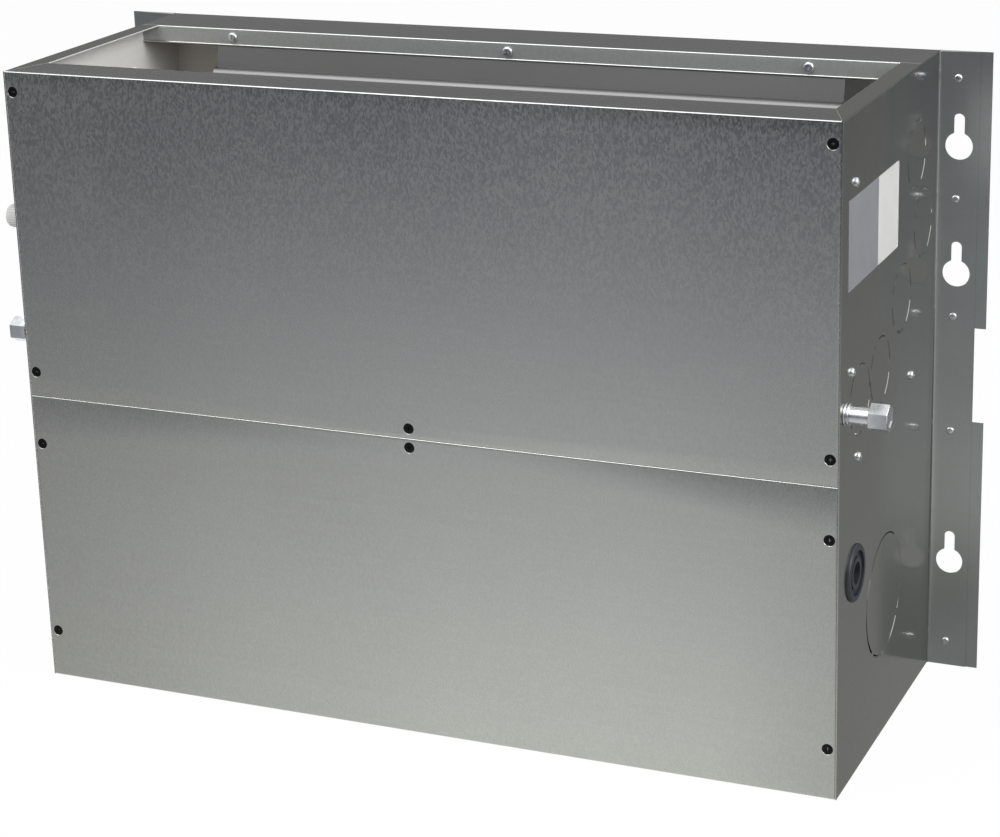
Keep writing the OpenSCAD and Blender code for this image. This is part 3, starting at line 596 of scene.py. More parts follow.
@dataclass(frozen=True)
class Foam:
    """Closed-cell foam or filter fabric, with open pores that are painted darker in their middles as painted
    shade.
    """

    name: str
    tone: Colour
    pore: float = 500.0

    def material(self) -> bpy.types.Material:
        """Builds the pored material."""
        n = Nodes(self.name)
        pores = n.add("ShaderNodeTexVoronoi", Vector=n.place(), Scale=self.pore).outputs["Distance"]
        shade = n.noise(25.0, 4.0)
        # Darker at each pore's middle: painted shade in the pores.
        colour = n.mix(n.spread(pores), dimmed(self.tone, 0.6), self.tone)
        return n.finish(Base_Color=colour, Roughness=n.spread(shade, 0.85, 0.98),
                        Normal=n.bump(pores, 0.5, 0.5 * MM))


SHEET = Galvanised("galvanised_sheet", (0.50, 0.51, 0.50), 0.15, 0.03, 0.04)
FRONT = Galvanised("galvanised_front", (0.53, 0.535, 0.51), 0.25, 0.12, 0.08, calm_below=0.36)
SIDES = Galvanised("galvanised_sides", (0.472, 0.483, 0.455), 0.13, 0.03, 0.03)
# The coil cap, as a dark copy of the galvanised sheet: a painted dark reflection.
CAP_PAINTED_REFLECTION = Galvanised("galvanised_cap", (0.15, 0.151, 0.15), 0.36, 0.012, 0.01)
# The wall flanges, as a lighter copy of the galvanised sheet: a painted reflection.
FLANGE_PAINTED_REFLECTION = Galvanised("galvanised_flange", (0.53, 0.55, 0.545), 0.3, 0.012, 0.012)
# The lip, as a half-matt copy of the galvanised sheet that the lamps light: painted light.
LIP_PAINTED_LIGHT = Galvanised("galvanised_lip", (0.37, 0.38, 0.375), 0.36, 0.04, 0.05, metallic=0.4)
# The inner walls and parts, as a near-white, almost matt copy of the galvanised sheet: painted light.
INNER_PAINTED_LIGHT = Galvanised("galvanised_inner_painted_light", (0.88, 0.885, 0.87), 0.5, 0.015, 0.05, metallic=0.05)
ZINC = Plated("bright_zinc", (0.80, 0.82, 0.84))
BRASS = Plated("cast_brass", (0.66, 0.5, 0.24), 0.32)
COPPER = Plated("drawn_copper", (0.72, 0.4, 0.24), 0.3)
FOIL = Plated("fin_foil", (0.72, 0.74, 0.75), 0.34)
BLACK_SCREW = Plated("black_oxide", (0.022, 0.022, 0.024), 0.38)
MOTOR = Moulded("motor_paint", (0.035, 0.037, 0.04), 0.42, 400.0)
RUBBER = Moulded("black_rubber", (0.016, 0.018, 0.024), 0.4, 1200.0)
DARK_PLASTIC = Moulded("dark_plastic", (0.05, 0.052, 0.056), 0.5)
LIGHT_PLASTIC = Moulded("light_plastic", (0.55, 0.555, 0.54), 0.45)
GREEN_PLASTIC = Moulded("green_plastic", (0.05, 0.2, 0.1), 0.35)
GREY_FILM = Film("grey_film", (0.212, 0.216, 0.23))
WHITE_FILM = Film("white_film", (0.6, 0.605, 0.59))
FOAM = Foam("pale_foam", (0.6, 0.61, 0.6))
FABRIC = Foam("filter_fabric", (0.16, 0.2, 0.25), 900.0)

CAD_FINISHES = {
    # The inner parts wear the near-white copy of the sheet: painted light.
    INNER_PAINTED_LIGHT: ["fan_deck", "left_corner_post", "right_corner_post", "left_coil_plate", "right_coil_plate",
            "pan_supports", "motor_hangers", "filter_guides"],
    # The coil cap wears the dark copy of the sheet: a painted dark reflection.
    CAP_PAINTED_REFLECTION: ["coil_cap"],
    FOAM: ["front_foam"],
    FABRIC: ["filter_fabric"],
    COPPER: ["coil_tubes", "return_bends"],
    BRASS: ["supply_manifold", "return_manifold", "bleed_screw"],
    FOIL: ["left_fan_wheel", "right_fan_wheel"],
    ZINC: ["fan_shaft", "drain_pan"],
    MOTOR: ["fan_motor"],
    RUBBER: ["motor_rings"],
    DARK_PLASTIC: ["left_fan_housing", "right_fan_housing", "filter_frame"],
    LIGHT_PLASTIC: ["terminal_box", "terminal_box_cover"],
    GREEN_PLASTIC: ["terminal_block"],
}
MADE: dict[str, bpy.types.Material] = {}


def finish_of(finish: Finish) -> bpy.types.Material:
    """The one material of a finish, built when it is first asked for."""
    if finish.name not in MADE:
        MADE[finish.name] = finish.material()
    return MADE[finish.name]


def dress(piece: Piece, finish: Finish) -> None:
    """Gives a piece one finish all over."""
    piece.data.materials.clear()
    piece.data.materials.append(finish_of(finish))


def dress_faces(piece: Piece, finish: Finish, test: Test) -> None:
    """Gives some faces of a dressed piece another finish.

    Args:
        piece: The piece.
        finish: The other finish.
        test: Called with a face's centre and normal.
    """
    piece.data.materials.append(finish_of(finish))
    for face in piece.data.polygons:
        if test(face.center, face.normal):
            face.material_index = len(piece.data.materials) - 1


def hand_over(piece: Piece, finish: Finish, slot: str, *nodes: str, body: Body = Body.CASING,
              crease: float = 35.0) -> Piece:
    """Finishes a piece and ties it to the frame.

    Args:
        piece: The modelled piece.
        finish: The finish that it wears.
        slot: The record's material slot. Not used.
        *nodes: The CAD nodes that it stands for.
        body: The body that it rides on.
        crease: The angle in degrees above which an edge stays sharp.

    Returns:
        The piece.
    """
    take(piece)
    bpy.ops.object.shade_smooth_by_angle(angle=math.radians(crease))
    dress(piece, finish)
    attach(piece, body.value)
    if nodes:
        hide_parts(*nodes)
    LOG.info("%s: %d faces", piece.name, len(piece.data.polygons))
    return piece


# Casing


@dataclass
class Sheets:
    """The folded sheets of the casing, with the bends that the solids leave sharp."""

    sheet: float = 1.0 * MM
    bend: float = 3.4 * MM
    fillet: float = 1.8 * MM
    edge: float = 0.8 * MM
    side_edge: float = 0.9 * MM
    joint_edge: float = 0.95 * MM
    top_flange: float = 40.0 * MM
    rear_flange: float = 60.0 * MM
    bottom_flange: float = 30.0 * MM
    base_gap: float = 0.5 * MM
    side_fold: float = 16.0 * MM
    front_fold: float = 20.0 * MM
    lip: float = 15.0 * MM
    lip_hole_r: float = 2.15 * MM
    hem: float = 1.6 * MM
    hem_out: float = 1.1 * MM
    hem_round: float = 0.75 * MM
    key_r: float = 11.5 * MM
    key_slot: float = 9.0 * MM
    key_rise: float = 27.0 * MM
    key_x: float = 371.0 * MM
    key_heights: tuple[float, ...] = mm(96.0, 350.0, 457.0)
    notch: Pair = mm(222.0, 304.0)
    slit_w: float = 1.0 * MM
    slit_out: float = 0.4 * MM
    slit_steps: int = 10
    shear: float = 0.8 * MM
    shear_w: float = 1.45 * MM
    shear_from: float = -0.1
    sink_r: float = 4.85 * MM
    sink_deep: float = 2.4 * MM
    button_x: float = 369.5 * MM
    button_heights: tuple[float, ...] = mm(22.0, 213.0, 313.0, 413.0, 513.0)
    button_r: float = 3.4 * MM
    button_tip: float = 1.7 * MM
    button_sunk: float = 0.3 * MM
    button_round: float = 1.65 * MM

    def __post_init__(self) -> None:
        """Reads the casing's outer sizes from the frame."""
        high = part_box("back_panel")[1]
        self.wall_x = high.x
        self.top = high.z
        self.rear = high.y
        self.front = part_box("upper_front_panel")[0].y
        self.panel_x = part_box("upper_front_panel")[1].x
        self.joint = (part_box("lower_front_panel")[1].z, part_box("upper_front_panel")[0].z)
        self.flange_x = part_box("right_wall_flange")[1].x
        self.out_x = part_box("right_side_panel")[1].x
        self.in_x = self.out_x - self.sheet
        self.lip_y = self.rear - self.rear_flange

    def screw_cutters(self, screws: Pairs) -> Piece:
        """Countersunk holes for front screws at their X and Z, as one tool shape."""
        deselect()
        bpy.ops.mesh.primitive_cone_add(vertices=32, radius1=self.sink_r, radius2=self.sink_r - self.sink_deep,
                                        depth=self.sink_deep, location=(0, 0, self.sheet))
        tool = settle("sunk_hole")
        return repeat(tool, "sunk_holes", [turn_of(Axis.Y, (x, self.front, z)) for x, z in screws])

    def upper_panel(self, screws: Pairs) -> Piece:
        """The upper front panel with its folded, mitred top flange.

        Args:
            screws: The places of its screws.

        Returns:
            The panel.
        """
        x, front, top, sheet = self.panel_x, self.front, self.top, self.sheet
        panel = box("upper_panel", (-x, front, self.joint[1]), (x, front + sheet, top - sheet))
        extrude(panel, lambda c, n: n.z > ALONG, (0, 0, sheet))
        extrude(panel, lambda c, n: n.y > ALONG and c.z > top - sheet, (0, self.top_flange - sheet, 0))
        with editing(panel) as mesh:
            pick_faces(panel, mesh, lambda c, n: n.y > ALONG and c.y > front + self.top_flange - NEAR)
            stretch(((x - self.side_fold) / x, 1, 1))
        bevel(panel, along("x", y=front, z=top), self.bend, 6)
        bevel(panel, along("x", y=front + sheet, z=top - sheet), self.bend - sheet, 3)
        bevel(panel, lambda c, d: at(c.y, front) and (abs(c.x) > x - NEAR or at(c.z, self.joint[1])),
              self.edge, 2)
        cut(panel, self.screw_cutters(screws))
        return panel

    def lower_panel(self, screws: Pairs) -> Piece:
        """The lower front panel with its folded base flange.

        Args:
            screws: The places of its screws.

        Returns:
            The panel.
        """
        x, front, sheet = self.panel_x, self.front, self.sheet
        panel = box("lower_panel", (-x, front, sheet), (x, front + sheet, self.joint[0]))
        extrude(panel, lambda c, n: n.z < -ALONG, (0, 0, -sheet))
        reach = self.bottom_flange - sheet - self.base_gap
        extrude(panel, lambda c, n: n.y > ALONG and c.z < sheet, (0, reach, 0))
        bevel(panel, along("x", y=front, z=0), self.bend, 5)
        bevel(panel, along("x", y=front, z=self.joint[0]), self.joint_edge, 5)
        bevel(panel, lambda c, d: at(c.y, front) and abs(c.x) > x - NEAR, self.edge, 2)
        cut(panel, self.screw_cutters(screws))
        return panel

    def keyhole_cutters(self, side: Side) -> Piece:
        """The keyholes of one wall flange, as one tool shape."""
        deep = 8 * self.sheet
        x, half = side.value * self.key_x, self.key_slot / 2
        tools = []
        for i, z in enumerate(self.key_heights):
            slot_top = z + self.key_rise - half
            hole = rod(f"key_{i}", (x, self.rear, z), self.key_r, deep, Axis.Y, 48)
            weld(hole, rod("slot_end", (x, self.rear, slot_top), half, deep, Axis.Y, 24))
            weld(hole, box("slot", (x - half, self.rear - deep / 2, z),
                           (x + half, self.rear + deep / 2, slot_top)))
            tools.append(hole)
        return join("keyholes", tools)

    def back_panel(self, screws: Pairs) -> Piece:
        """The back panel: wall flanges, rear top flange with its hanging lip, and base flange.

        Args:
            screws: The X and Z of the lip's screws.

        Returns:
            The panel.
        """
        x, rear, top, sheet, lip_y = self.in_x, self.rear, self.top, self.sheet, self.lip_y
        face = rear - sheet
        panel = box("rear_panel", (-self.wall_x, face, 0), (self.wall_x, rear, top))
        for place in (x, -x):
            bisect(panel, (place, 0, 0), (1, 0, 0))
        for place in (sheet, top - sheet):
            bisect(panel, (0, 0, place), (0, 0, 1))

        def strip(low: float, high: float) -> Test:
            """Faces of the plate's front between two heights, inside the casing."""
            return lambda c, n: n.y < -ALONG and at(c.y, face) and low < c.z < high and abs(c.x) < x

        extrude(panel, strip(top - sheet, top), (0, lip_y - face + sheet, 0))
        extrude(panel, lambda c, n: n.y < -ALONG and at(c.y, lip_y + sheet), (0, -sheet, 0))
        extrude(panel, lambda c, n: n.z < -ALONG and lip_y < c.y < lip_y + sheet, (0, 0, sheet - self.lip))
        extrude(panel, strip(0, sheet), (0, sheet - self.bottom_flange, 0))
        hem_z = top - self.lip + self.hem
        bisect(panel, (0, 0, hem_z), (0, 0, 1))
        extrude(panel, lambda c, n: n.y < -ALONG and at(c.y, lip_y) and c.z < hem_z, (0, -self.hem_out, 0))
        bevel(panel, along("x", y=lip_y - self.hem_out), self.hem_round, 4)
        bevel(panel, along("x", y=lip_y, z=top), self.bend, 6)
        bevel(panel, along("x", y=lip_y + sheet, z=top - sheet), self.bend - sheet, 3)
        crest = along("x", y=rear, z=top)
        bevel(panel, lambda c, d: crest(c, d) and abs(c.x) < x, self.edge, 3)
        for side in Side:
            cut(panel, self.keyhole_cutters(side))
            span = sorted((side.value * self.flange_x, side.value * (self.wall_x + sheet)))
            cut(panel, box("notch", (span[0], face - sheet, self.notch[0]),
                           (span[1], rear + sheet, self.notch[1])))
        for hole_x, hole_z in screws:
            cut(panel, rod("lip_hole", (hole_x, lip_y, hole_z), self.lip_hole_r, 6 * sheet, Axis.Y, 20))
        return panel

    def slit_tool(self, radius: float, span: float, sheared: bool) -> Piece:
        """One curved slit round the X axis, as a tool shape.

        Args:
            radius: The slit's radius.
            span: The angle that it covers.
            sheared: Whether its outer rim is sheared wider towards the sheet's face.

        Returns:
            The tool, which starts at +Y.
        """
        deep = 2 * self.sheet
        deselect()
        bpy.ops.mesh.primitive_plane_add(size=1.0, location=((self.slit_out - deep) / 2, radius, 0))
        bpy.context.object.scale = (deep + self.slit_out, self.slit_w, 1)
        slit = settle("slit")
        bisect(slit, (-self.shear, 0, 0), (1, 0, 0))
        with editing(slit) as mesh:
            pick_points(slit, mesh, lambda p: at(p.x, self.slit_out) and p.y > radius)
            if sheared:
                bpy.ops.transform.translate(value=(0, self.shear_w * (1 + self.slit_out / self.shear), 0))
            bpy.ops.mesh.select_all(action="SELECT")
            bpy.ops.mesh.spin(steps=self.slit_steps, angle=span, center=(0, 0, 0), axis=(1, 0, 0))
        recalculate(slit)
        return slit

    def slit_cutters(self, spot: Pair, radius: float, count: int, bridge: float) -> Piece:
        """The curved slits that outline one knock-out in a side panel, sheared wider on the rear half.

        Args:
            spot: The Y and Z of its centre.
            radius: The slits' radius.
            count: Slits round it.
            bridge: The sheet left between two slits.

        Returns:
            One tool shape with all the slits.
        """
        step = 2 * math.pi / count
        span = step - 2 * math.asin(bridge / (2 * radius))
        tools = []
        for sheared in (True, False):
            turns = [Matrix.Translation((self.out_x, *spot)) @ Matrix.Rotation(i * step - span / 2, 4, "X")
                     for i in range(count) if (math.cos(i * step) > self.shear_from) is sheared]
            tools.append(repeat(self.slit_tool(radius, span, sheared), f"slits_{sheared}", turns))
        return join("slits", tools)

    def side_panel(self, side: Side, holes: "SideHoles") -> Piece:
        """One side panel with its wall flange, front fold, top fold and base fold.

        Args:
            side: The hand. Both are modelled on the right, and the left one is then mirrored.
            holes: The holes in the sheet.

        Returns:
            The panel.
        """
        sheet, top, out, inner = self.sheet, self.top, self.out_x, self.in_x
        front, rear, lip_y = self.front, self.rear - sheet, self.lip_y
        base = self.rear - self.bottom_flange
        mitre = front + self.top_flange
        fold = (-self.side_fold, 0, 0)
        panel = box(f"{side.name.lower()}_side", (inner, front, 0), (out, rear, top))
        for place in (front + sheet, front + 2 * sheet, -base, base, lip_y, rear - sheet):
            bisect(panel, (0, place, 0), (0, 1, 0))
        for place in (sheet, top - sheet):
            bisect(panel, (0, 0, place), (0, 0, 1))
        extrude(panel, lambda c, n: n.x > ALONG and c.y > rear - sheet, (self.flange_x - out, 0, 0))
        extrude(panel, lambda c, n: n.x < -ALONG and front + sheet < c.y < front + 2 * sheet
                and sheet < c.z < top - sheet, (-self.front_fold, 0, 0))
        extrude(panel, lambda c, n: n.x < -ALONG and front + sheet < c.y < lip_y and c.z > top - sheet, fold)
        with editing(panel) as mesh:
            pick_points(panel, mesh, lambda p: at(p.x, inner - self.side_fold) and p.z > top - 2 * sheet
                        and p.y < mitre)
            stretch((1, 0, 1), (0, mitre, 0))
        extrude(panel, lambda c, n: n.x < -ALONG and -base < c.y < base and c.z < sheet
                and c.x > inner - NEAR, fold)
        bevel(panel, along("y", x=out, z=top), self.side_edge, 4)
        bevel(panel, along("z", x=out, y=front), self.side_edge, 4)
        bevel(panel, along("z", x=out, y=rear - sheet), self.fillet, 4)
        recalculate(panel)
        for tool in holes.tools(self, side):
            cut(panel, tool)
        cut(panel, self.keyhole_cutters(Side.RIGHT))
        panel = join(panel.name, [panel, self.clinch_buttons()])
        if side is Side.LEFT:
            with editing(panel):
                bpy.ops.mesh.select_all(action="SELECT")
                stretch((-1, 1, 1))
            recalculate(panel)
        return panel

    def clinch_buttons(self) -> Piece:
        """The pressed, domed buttons that join a wall flange to the back panel."""
        tip, sunk = self.button_tip, self.button_sunk
        button = rod("button", (0, 0, (tip - sunk) / 2), self.button_r, tip + sunk, Axis.Z, 28)
        bevel(button, across("z", tip), self.button_round, 6)
        face = self.rear - 2 * self.sheet
        turns = [turn_of(Axis.Y, (self.button_x, face, z), True) for z in self.button_heights]
        return repeat(button, "buttons", turns)


@dataclass
class SideHoles:
    """The holes and knock-outs of the side panels, at their Y and Z on the right-hand sheet."""

    drain: Pair
    grommet: Pair
    gland: Pair
    screws: Pairs
    pipes: Pairs = (mm(-56.1, 337.9), mm(56.9, 473.3))
    air: Pair = mm(-9.0, 121.0)
    air_r: float = 50.0 * MM
    air_bridge: float = 6.0 * MM
    air_slits: int = 4
    knock_outs: Pairs = (
        mm(69.4, 464.6), mm(93.4, 403.6), mm(30.4, 357.6), mm(-30.6, 315.6), mm(-87.6, 310.6))
    pipe_r: float = 27.0 * MM
    pipe_bridge: float = 10.0 * MM
    pipe_slits: int = 6
    drain_r: float = 7.1 * MM
    screw_r: float = 2.15 * MM
    grommet_r: float = 18.1 * MM
    gland_r: float = 6.1 * MM

    def tools(self, sheets: Sheets, side: Side) -> list[Piece]:
        """The cutters of one hand's holes.

        Args:
            sheets: The casing's sheets.
            side: The hand.

        Returns:
            The cutters, all on the right-hand side.
        """
        rounds = [(self.drain, self.drain_r)] + [(spot, self.screw_r) for spot in self.screws]
        if side is Side.RIGHT:
            rounds.append((self.grommet, self.grommet_r))
        else:
            rounds.append((self.gland, self.gland_r))
            rounds += [(spot, self.pipe_r) for spot in self.pipes]
        tools = [rod(f"hole_{i}", (sheets.out_x, y, z), radius, 6 * sheets.sheet, Axis.X, 40)
                 for i, ((y, z), radius) in enumerate(rounds)]
        tools.append(sheets.slit_cutters(self.air, self.air_r, self.air_slits, self.air_bridge))
        if side is Side.RIGHT:
            tools += [sheets.slit_cutters(spot, self.pipe_r, self.pipe_slits, self.pipe_bridge)
                      for spot in self.knock_outs]
        return tools


# Small parts


@dataclass
class Screws:
    """The screws: black sunk heads in the front, bright round heads in the lip and the sides."""

    head_r: float = 4.5 * MM
    sunk_r: float = 4.8 * MM
    side_r: float = 3.7 * MM
    head_h: float = 2.4 * MM
    dome: float = 0.75
    shank_r: float = 2.0 * MM
    length: float = 6.0 * MM
    sunk: float = 0.15 * MM
    rim: float = 0.25 * MM
    rim_round: float = 0.2 * MM
    neck: float = 1.3 * MM
    cross: float = 2.5 * MM
    cross_w: float = 0.95 * MM
    cross_taper: float = 0.55
    sunk_cross: float = 0.9 * MM
    round_cross: float = 1.2 * MM

    def cross_cut(self, screw: Piece, face: float, deep: float) -> None:
        """Cuts the cross for a screwdriver into a head.

        Args:
            screw: The screw along +Z.
            face: The height of the head's face.
            deep: The recess's depth.
        """
        wide, long = self.cross_w / 2, self.cross
        for x, y in ((wide, long), (long, wide)):
            tool = box("arm", (-x, -y, face - MM), (x, y, face + deep))
            with editing(tool) as mesh:
                pick_faces(tool, mesh, lambda c, n: n.z > ALONG)
                stretch((self.cross_taper, self.cross_taper, 1), (0, 0, face))
            cut(screw, tool)

    def sunk_screw(self) -> Piece:
        """One screw with a sunk head, its face at the origin and its shank along +Z."""
        middle = (self.sunk + self.length) / 2
        screw = rod("sunk_screw", (0, 0, middle), self.sunk_r, self.length - self.sunk, Axis.Z)
        bisect(screw, (0, 0, self.sunk + self.rim), (0, 0, 1))
        bisect(screw, (0, 0, self.neck), (0, 0, 1))
        with editing(screw) as mesh:
            pick_points(screw, mesh, lambda p: p.z > self.neck - NEAR)
            thin = self.shank_r / self.sunk_r
            stretch((thin, thin, 1))
        bevel(screw, across("z", self.sunk), self.rim_round, 2)
        self.cross_cut(screw, self.sunk, self.sunk_cross)
        return screw

    def round_screw(self, radius: float) -> Piece:
        """One screw with a round head below the origin and its shank along +Z."""
        screw = rod("round_screw", (0, 0, -self.head_h / 2), radius, self.head_h, Axis.Z)
        bevel(screw, across("z", -self.head_h), self.dome * self.head_h, 5)
        with editing(screw) as mesh:
            pick_faces(screw, mesh, lambda c, n: n.z > FLAT)
            pull_inset(radius - self.shank_r, (0, 0, self.length))
        self.cross_cut(screw, -self.head_h, self.round_cross)
        return screw

    def build(self, sheets: Sheets, front: Pairs, lip: Pairs, sides: Pairs) -> None:
        """Builds all three groups.

        Args:
            sheets: The casing's sheets.
            front: The X and Z of the front screws.
            lip: The X and Z of the lip's screws.
            sides: The Y and Z of the screws in each side.
        """
        turns = [turn_of(Axis.Y, (x, sheets.front, z)) for x, z in front]
        black = repeat(self.sunk_screw(), "black_screws", turns)
        hand_over(black, BLACK_SCREW, "black_screw", "front_panel_screws")
        turns = [turn_of(Axis.Y, (x, sheets.lip_y, z)) for x, z in lip]
        bright = repeat(self.round_screw(self.head_r), "bright_lip_screws", turns)
        hand_over(bright, ZINC, "zinc", "lip_screws")
        turns = [turn_of(Axis.X, (side.value * sheets.out_x, y, z), side is Side.RIGHT)
                 for side in Side for y, z in sides]
        bright = repeat(self.round_screw(self.side_r), "bright_side_screws", turns)
        hand_over(bright, ZINC, "zinc", "side_screws")


@dataclass
class DrainCaps:
    """The chamfered hexagon caps on the drain spigots, and the collars beside the side panels."""

    bore_r: float = 7.2 * MM
    chamfer: float = 1.1 * MM
    end: float = 4.0 * MM
    dish_rim: float = 2.2 * MM
    dish: float = 0.7 * MM
    collar_r: float = 8.6 * MM
    collar_t: float = 1.8 * MM
    collar_round: float = 0.8 * MM
    collar_bore: float = 7.05 * MM
    collar_step: float = 2.6 * MM
    collar_gap: float = 0.05 * MM

    def collars(self, sheets: Sheets) -> None:
        """Rounded rings on the spigots: two on the right, one on the left."""
        middle = (0, 0, self.collar_t / 2)
        ring = rod("drain_collar", middle, self.collar_r, self.collar_t, Axis.Z, 40)
        bevel(ring, lambda c, d: abs(d.z) < ACROSS, self.collar_round, 3)
        cut(ring, rod("collar_bore", middle, self.collar_bore, 3 * self.collar_t, Axis.Z, 40))
        low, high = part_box("right_drain_cap")
        y, z = (low.y + high.y) / 2, (low.z + high.z) / 2
        turns = []
        for side, count in ((Side.RIGHT, 2), (Side.LEFT, 1)):
            for i in range(count):
                x = side.value * (sheets.out_x + self.collar_gap + i * self.collar_step)
                turns.append(turn_of(Axis.X, (x, y, z), side is Side.LEFT))
        hand_over(repeat(ring, "drain_collars", turns), ZINC, "zinc")

    def build(self) -> None:
        """Builds the cap of each side."""
        for body in (Body.RIGHT_CAP, Body.LEFT_CAP):
            low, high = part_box(body.value)
            spot = (low + high) / 2
            length = high.x - low.x
            right = body is Body.RIGHT_CAP
            cap = rod(f"{body.value}_hex", (0, 0, length / 2), (high.z - low.z) / 2, length, Axis.Z, 6)
            for end in (0, length):
                bevel(cap, across("z", end), self.chamfer, 3)
            with editing(cap) as mesh:
                pick_faces(cap, mesh, lambda c, n: n.z > FLAT and at(c.z, length))
                pull_inset(self.dish_rim, (0, 0, -self.dish))
            deep = length - self.end
            cut(cap, rod("cap_bore", (0, 0, deep / 2 - MM), self.bore_r, deep + 2 * MM, Axis.Z))
            start = (low.x if right else high.x, spot.y, spot.z)
            cap = repeat(cap, f"{body.value}_hex", [turn_of(Axis.X, start, not right)])
            hand_over(cap, ZINC, "zinc", body.value, body=body)


@dataclass
class CableEntries:
    """The rubber grommet on the right and the ribbed gland on the left."""

    rim: float = 4.0 * MM
    rim_round: float = 1.9 * MM
    flat: float = 1.6 * MM
    dish_rim: float = 3.2 * MM
    dish: float = 2.2 * MM
    ring_w: float = 5.0 * MM
    ring_h: float = 1.4 * MM
    bore: float = 9.0 * MM
    neck: float = 18.0 * MM
    back_rim: float = 21.0 * MM
    ribs: int = 28
    rib_h: float = 0.45 * MM
    nut_in: float = 0.5 * MM
    nose: float = 3.2 * MM
    nose_round: float = 2.4 * MM
    tail_r: float = 6.0 * MM
    wire_r: float = 4.0 * MM

    def build(self, sheets: Sheets) -> None:
        """Builds both entries."""
        self.grommet(sheets)
        self.gland(sheets)

    def grommet(self, sheets: Sheets) -> None:
        """A grommet with a rounded outer rim, a dished face and a back rim."""
        low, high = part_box("cable_grommet")
        high.x -= self.flat
        spot = (low + high) / 2
        radius = (high.y - low.y) / 2
        ring = rod("grommet", (high.x - self.rim / 2, spot.y, spot.z), radius, self.rim, Axis.X, 56)
        bevel(ring, across("x", high.x), self.rim_round, 5)
        with editing(ring) as mesh:
            pick_faces(ring, mesh, lambda c, n: n.x > FLAT)
            pull_inset(self.dish_rim, (-self.dish, 0, 0))
            pull_inset(self.ring_w, (self.ring_h, 0, 0))
        neck_x = (low.x + sheets.out_x) / 2
        weld(ring, rod("neck", (neck_x, spot.y, spot.z), self.neck, sheets.out_x - low.x, Axis.X, 48))
        rim_x = low.x + self.rim / 2
        weld(ring, rod("back_rim", (rim_x, spot.y, spot.z), self.back_rim, self.rim, Axis.X, 48))
        cut(ring, rod("cable_bore", tuple(spot), self.bore, 1.5 * (high.x - low.x), Axis.X, 40))
        hand_over(ring, RUBBER, "rubber", "cable_grommet")

    def gland(self, sheets: Sheets) -> None:
        """A gland with a ribbed nut and a rounded nose."""
        low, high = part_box("cable_gland")
        spot = (low + high) / 2
        radius = (high.y - low.y) / 2 - self.nut_in
        length = -sheets.out_x - low.x
        nut = rod("gland", (low.x + length / 2, spot.y, spot.z), radius, length, Axis.X, 2 * self.ribs)
        bisect(nut, (low.x + self.nose, 0, 0), (1, 0, 0))
        step = math.pi / self.ribs

        def rib(c: Vector, n: Vector) -> bool:
            """Every other face round the nut's broad end."""
            turn = math.atan2(n.z, n.y) / step
            return abs(n.x) < ACROSS and c.x > low.x + self.nose and math.floor(turn + 0.01) % 2 == 0

        with editing(nut) as mesh:
            pick_faces(nut, mesh, rib)
            bpy.ops.mesh.extrude_faces_move(TRANSFORM_OT_shrink_fatten={"value": self.rib_h})
        bevel(nut, across("x", low.x), self.nose_round, 4)
        tail_x = (high.x - sheets.out_x) / 2
        weld(nut, rod("tail", (tail_x, spot.y, spot.z), self.tail_r, high.x + sheets.out_x, Axis.X))
        cut(nut, rod("wire_bore", tuple(spot), self.wire_r, 1.5 * (high.x - low.x), Axis.X, 24))
        hand_over(nut, LIGHT_PLASTIC, "light_plastic", "cable_gland")


@dataclass
class Labels:
    """The bare grey and white labels, with rounded corners."""

    corner: float = 1.5 * MM
    edge: float = 0.12 * MM

    def build(self) -> None:
        """Builds both labels."""
        films = (("grey_label", GREY_FILM, "grey_film"), ("white_label", WHITE_FILM, "white_film"))
        for node, finish, slot in films:
            low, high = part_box(node)
            label = box(f"{node}_film", low, high)
            bevel(label, along("x"), self.corner, 4)
            bevel(label, across("x", high.x), self.edge, 1)
            hand_over(label, finish, slot, node)


@dataclass
class Coil:
    """The slanted pack of thin, lightly waved fins."""

    pitch: float = 2.1 * MM
    foil: float = 0.14 * MM
    wave: float = 0.45 * MM
    folds: int = 6
    length: float = 215.0 * MM
    thick: float = 44.0 * MM
    lean: float = math.radians(47.0)

    def build(self) -> None:
        """Models one fin and sets it in a row along the coil."""
        low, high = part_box("fin_pack")
        middle = (low + high) / 2
        half = Vector((self.foil, self.thick, self.length)) / 2
        fin = box("fins", -half, half)
        step = self.thick / self.folds
        for i in range(1, self.folds):
            bisect(fin, (0, i * step - half.y, 0), (0, 1, 0))
        with editing(fin) as mesh:
            pick_points(fin, mesh, lambda p: round((p.y + half.y) / step) % 2 == 1)
            bpy.ops.transform.translate(value=(self.wave, 0, 0))
        count = int((high.x - low.x - self.wave - self.foil) / self.pitch) + 1
        start = middle.x - (count - 1) * self.pitch / 2 - self.wave / 2
        lean = Matrix.Rotation(-self.lean, 4, "X")
        fin.data.transform(Matrix.Translation((start, middle.y, middle.z)) @ lean)
        row = fin.modifiers.new("row", "ARRAY")
        row.use_relative_offset = False
        row.use_constant_offset = True
        row.constant_offset_displace = (self.pitch, 0, 0)
        row.count = count
        take(fin)
        bpy.ops.object.modifier_apply(modifier=row.name)
        hand_over(fin, FOIL, "fins", "fin_pack")


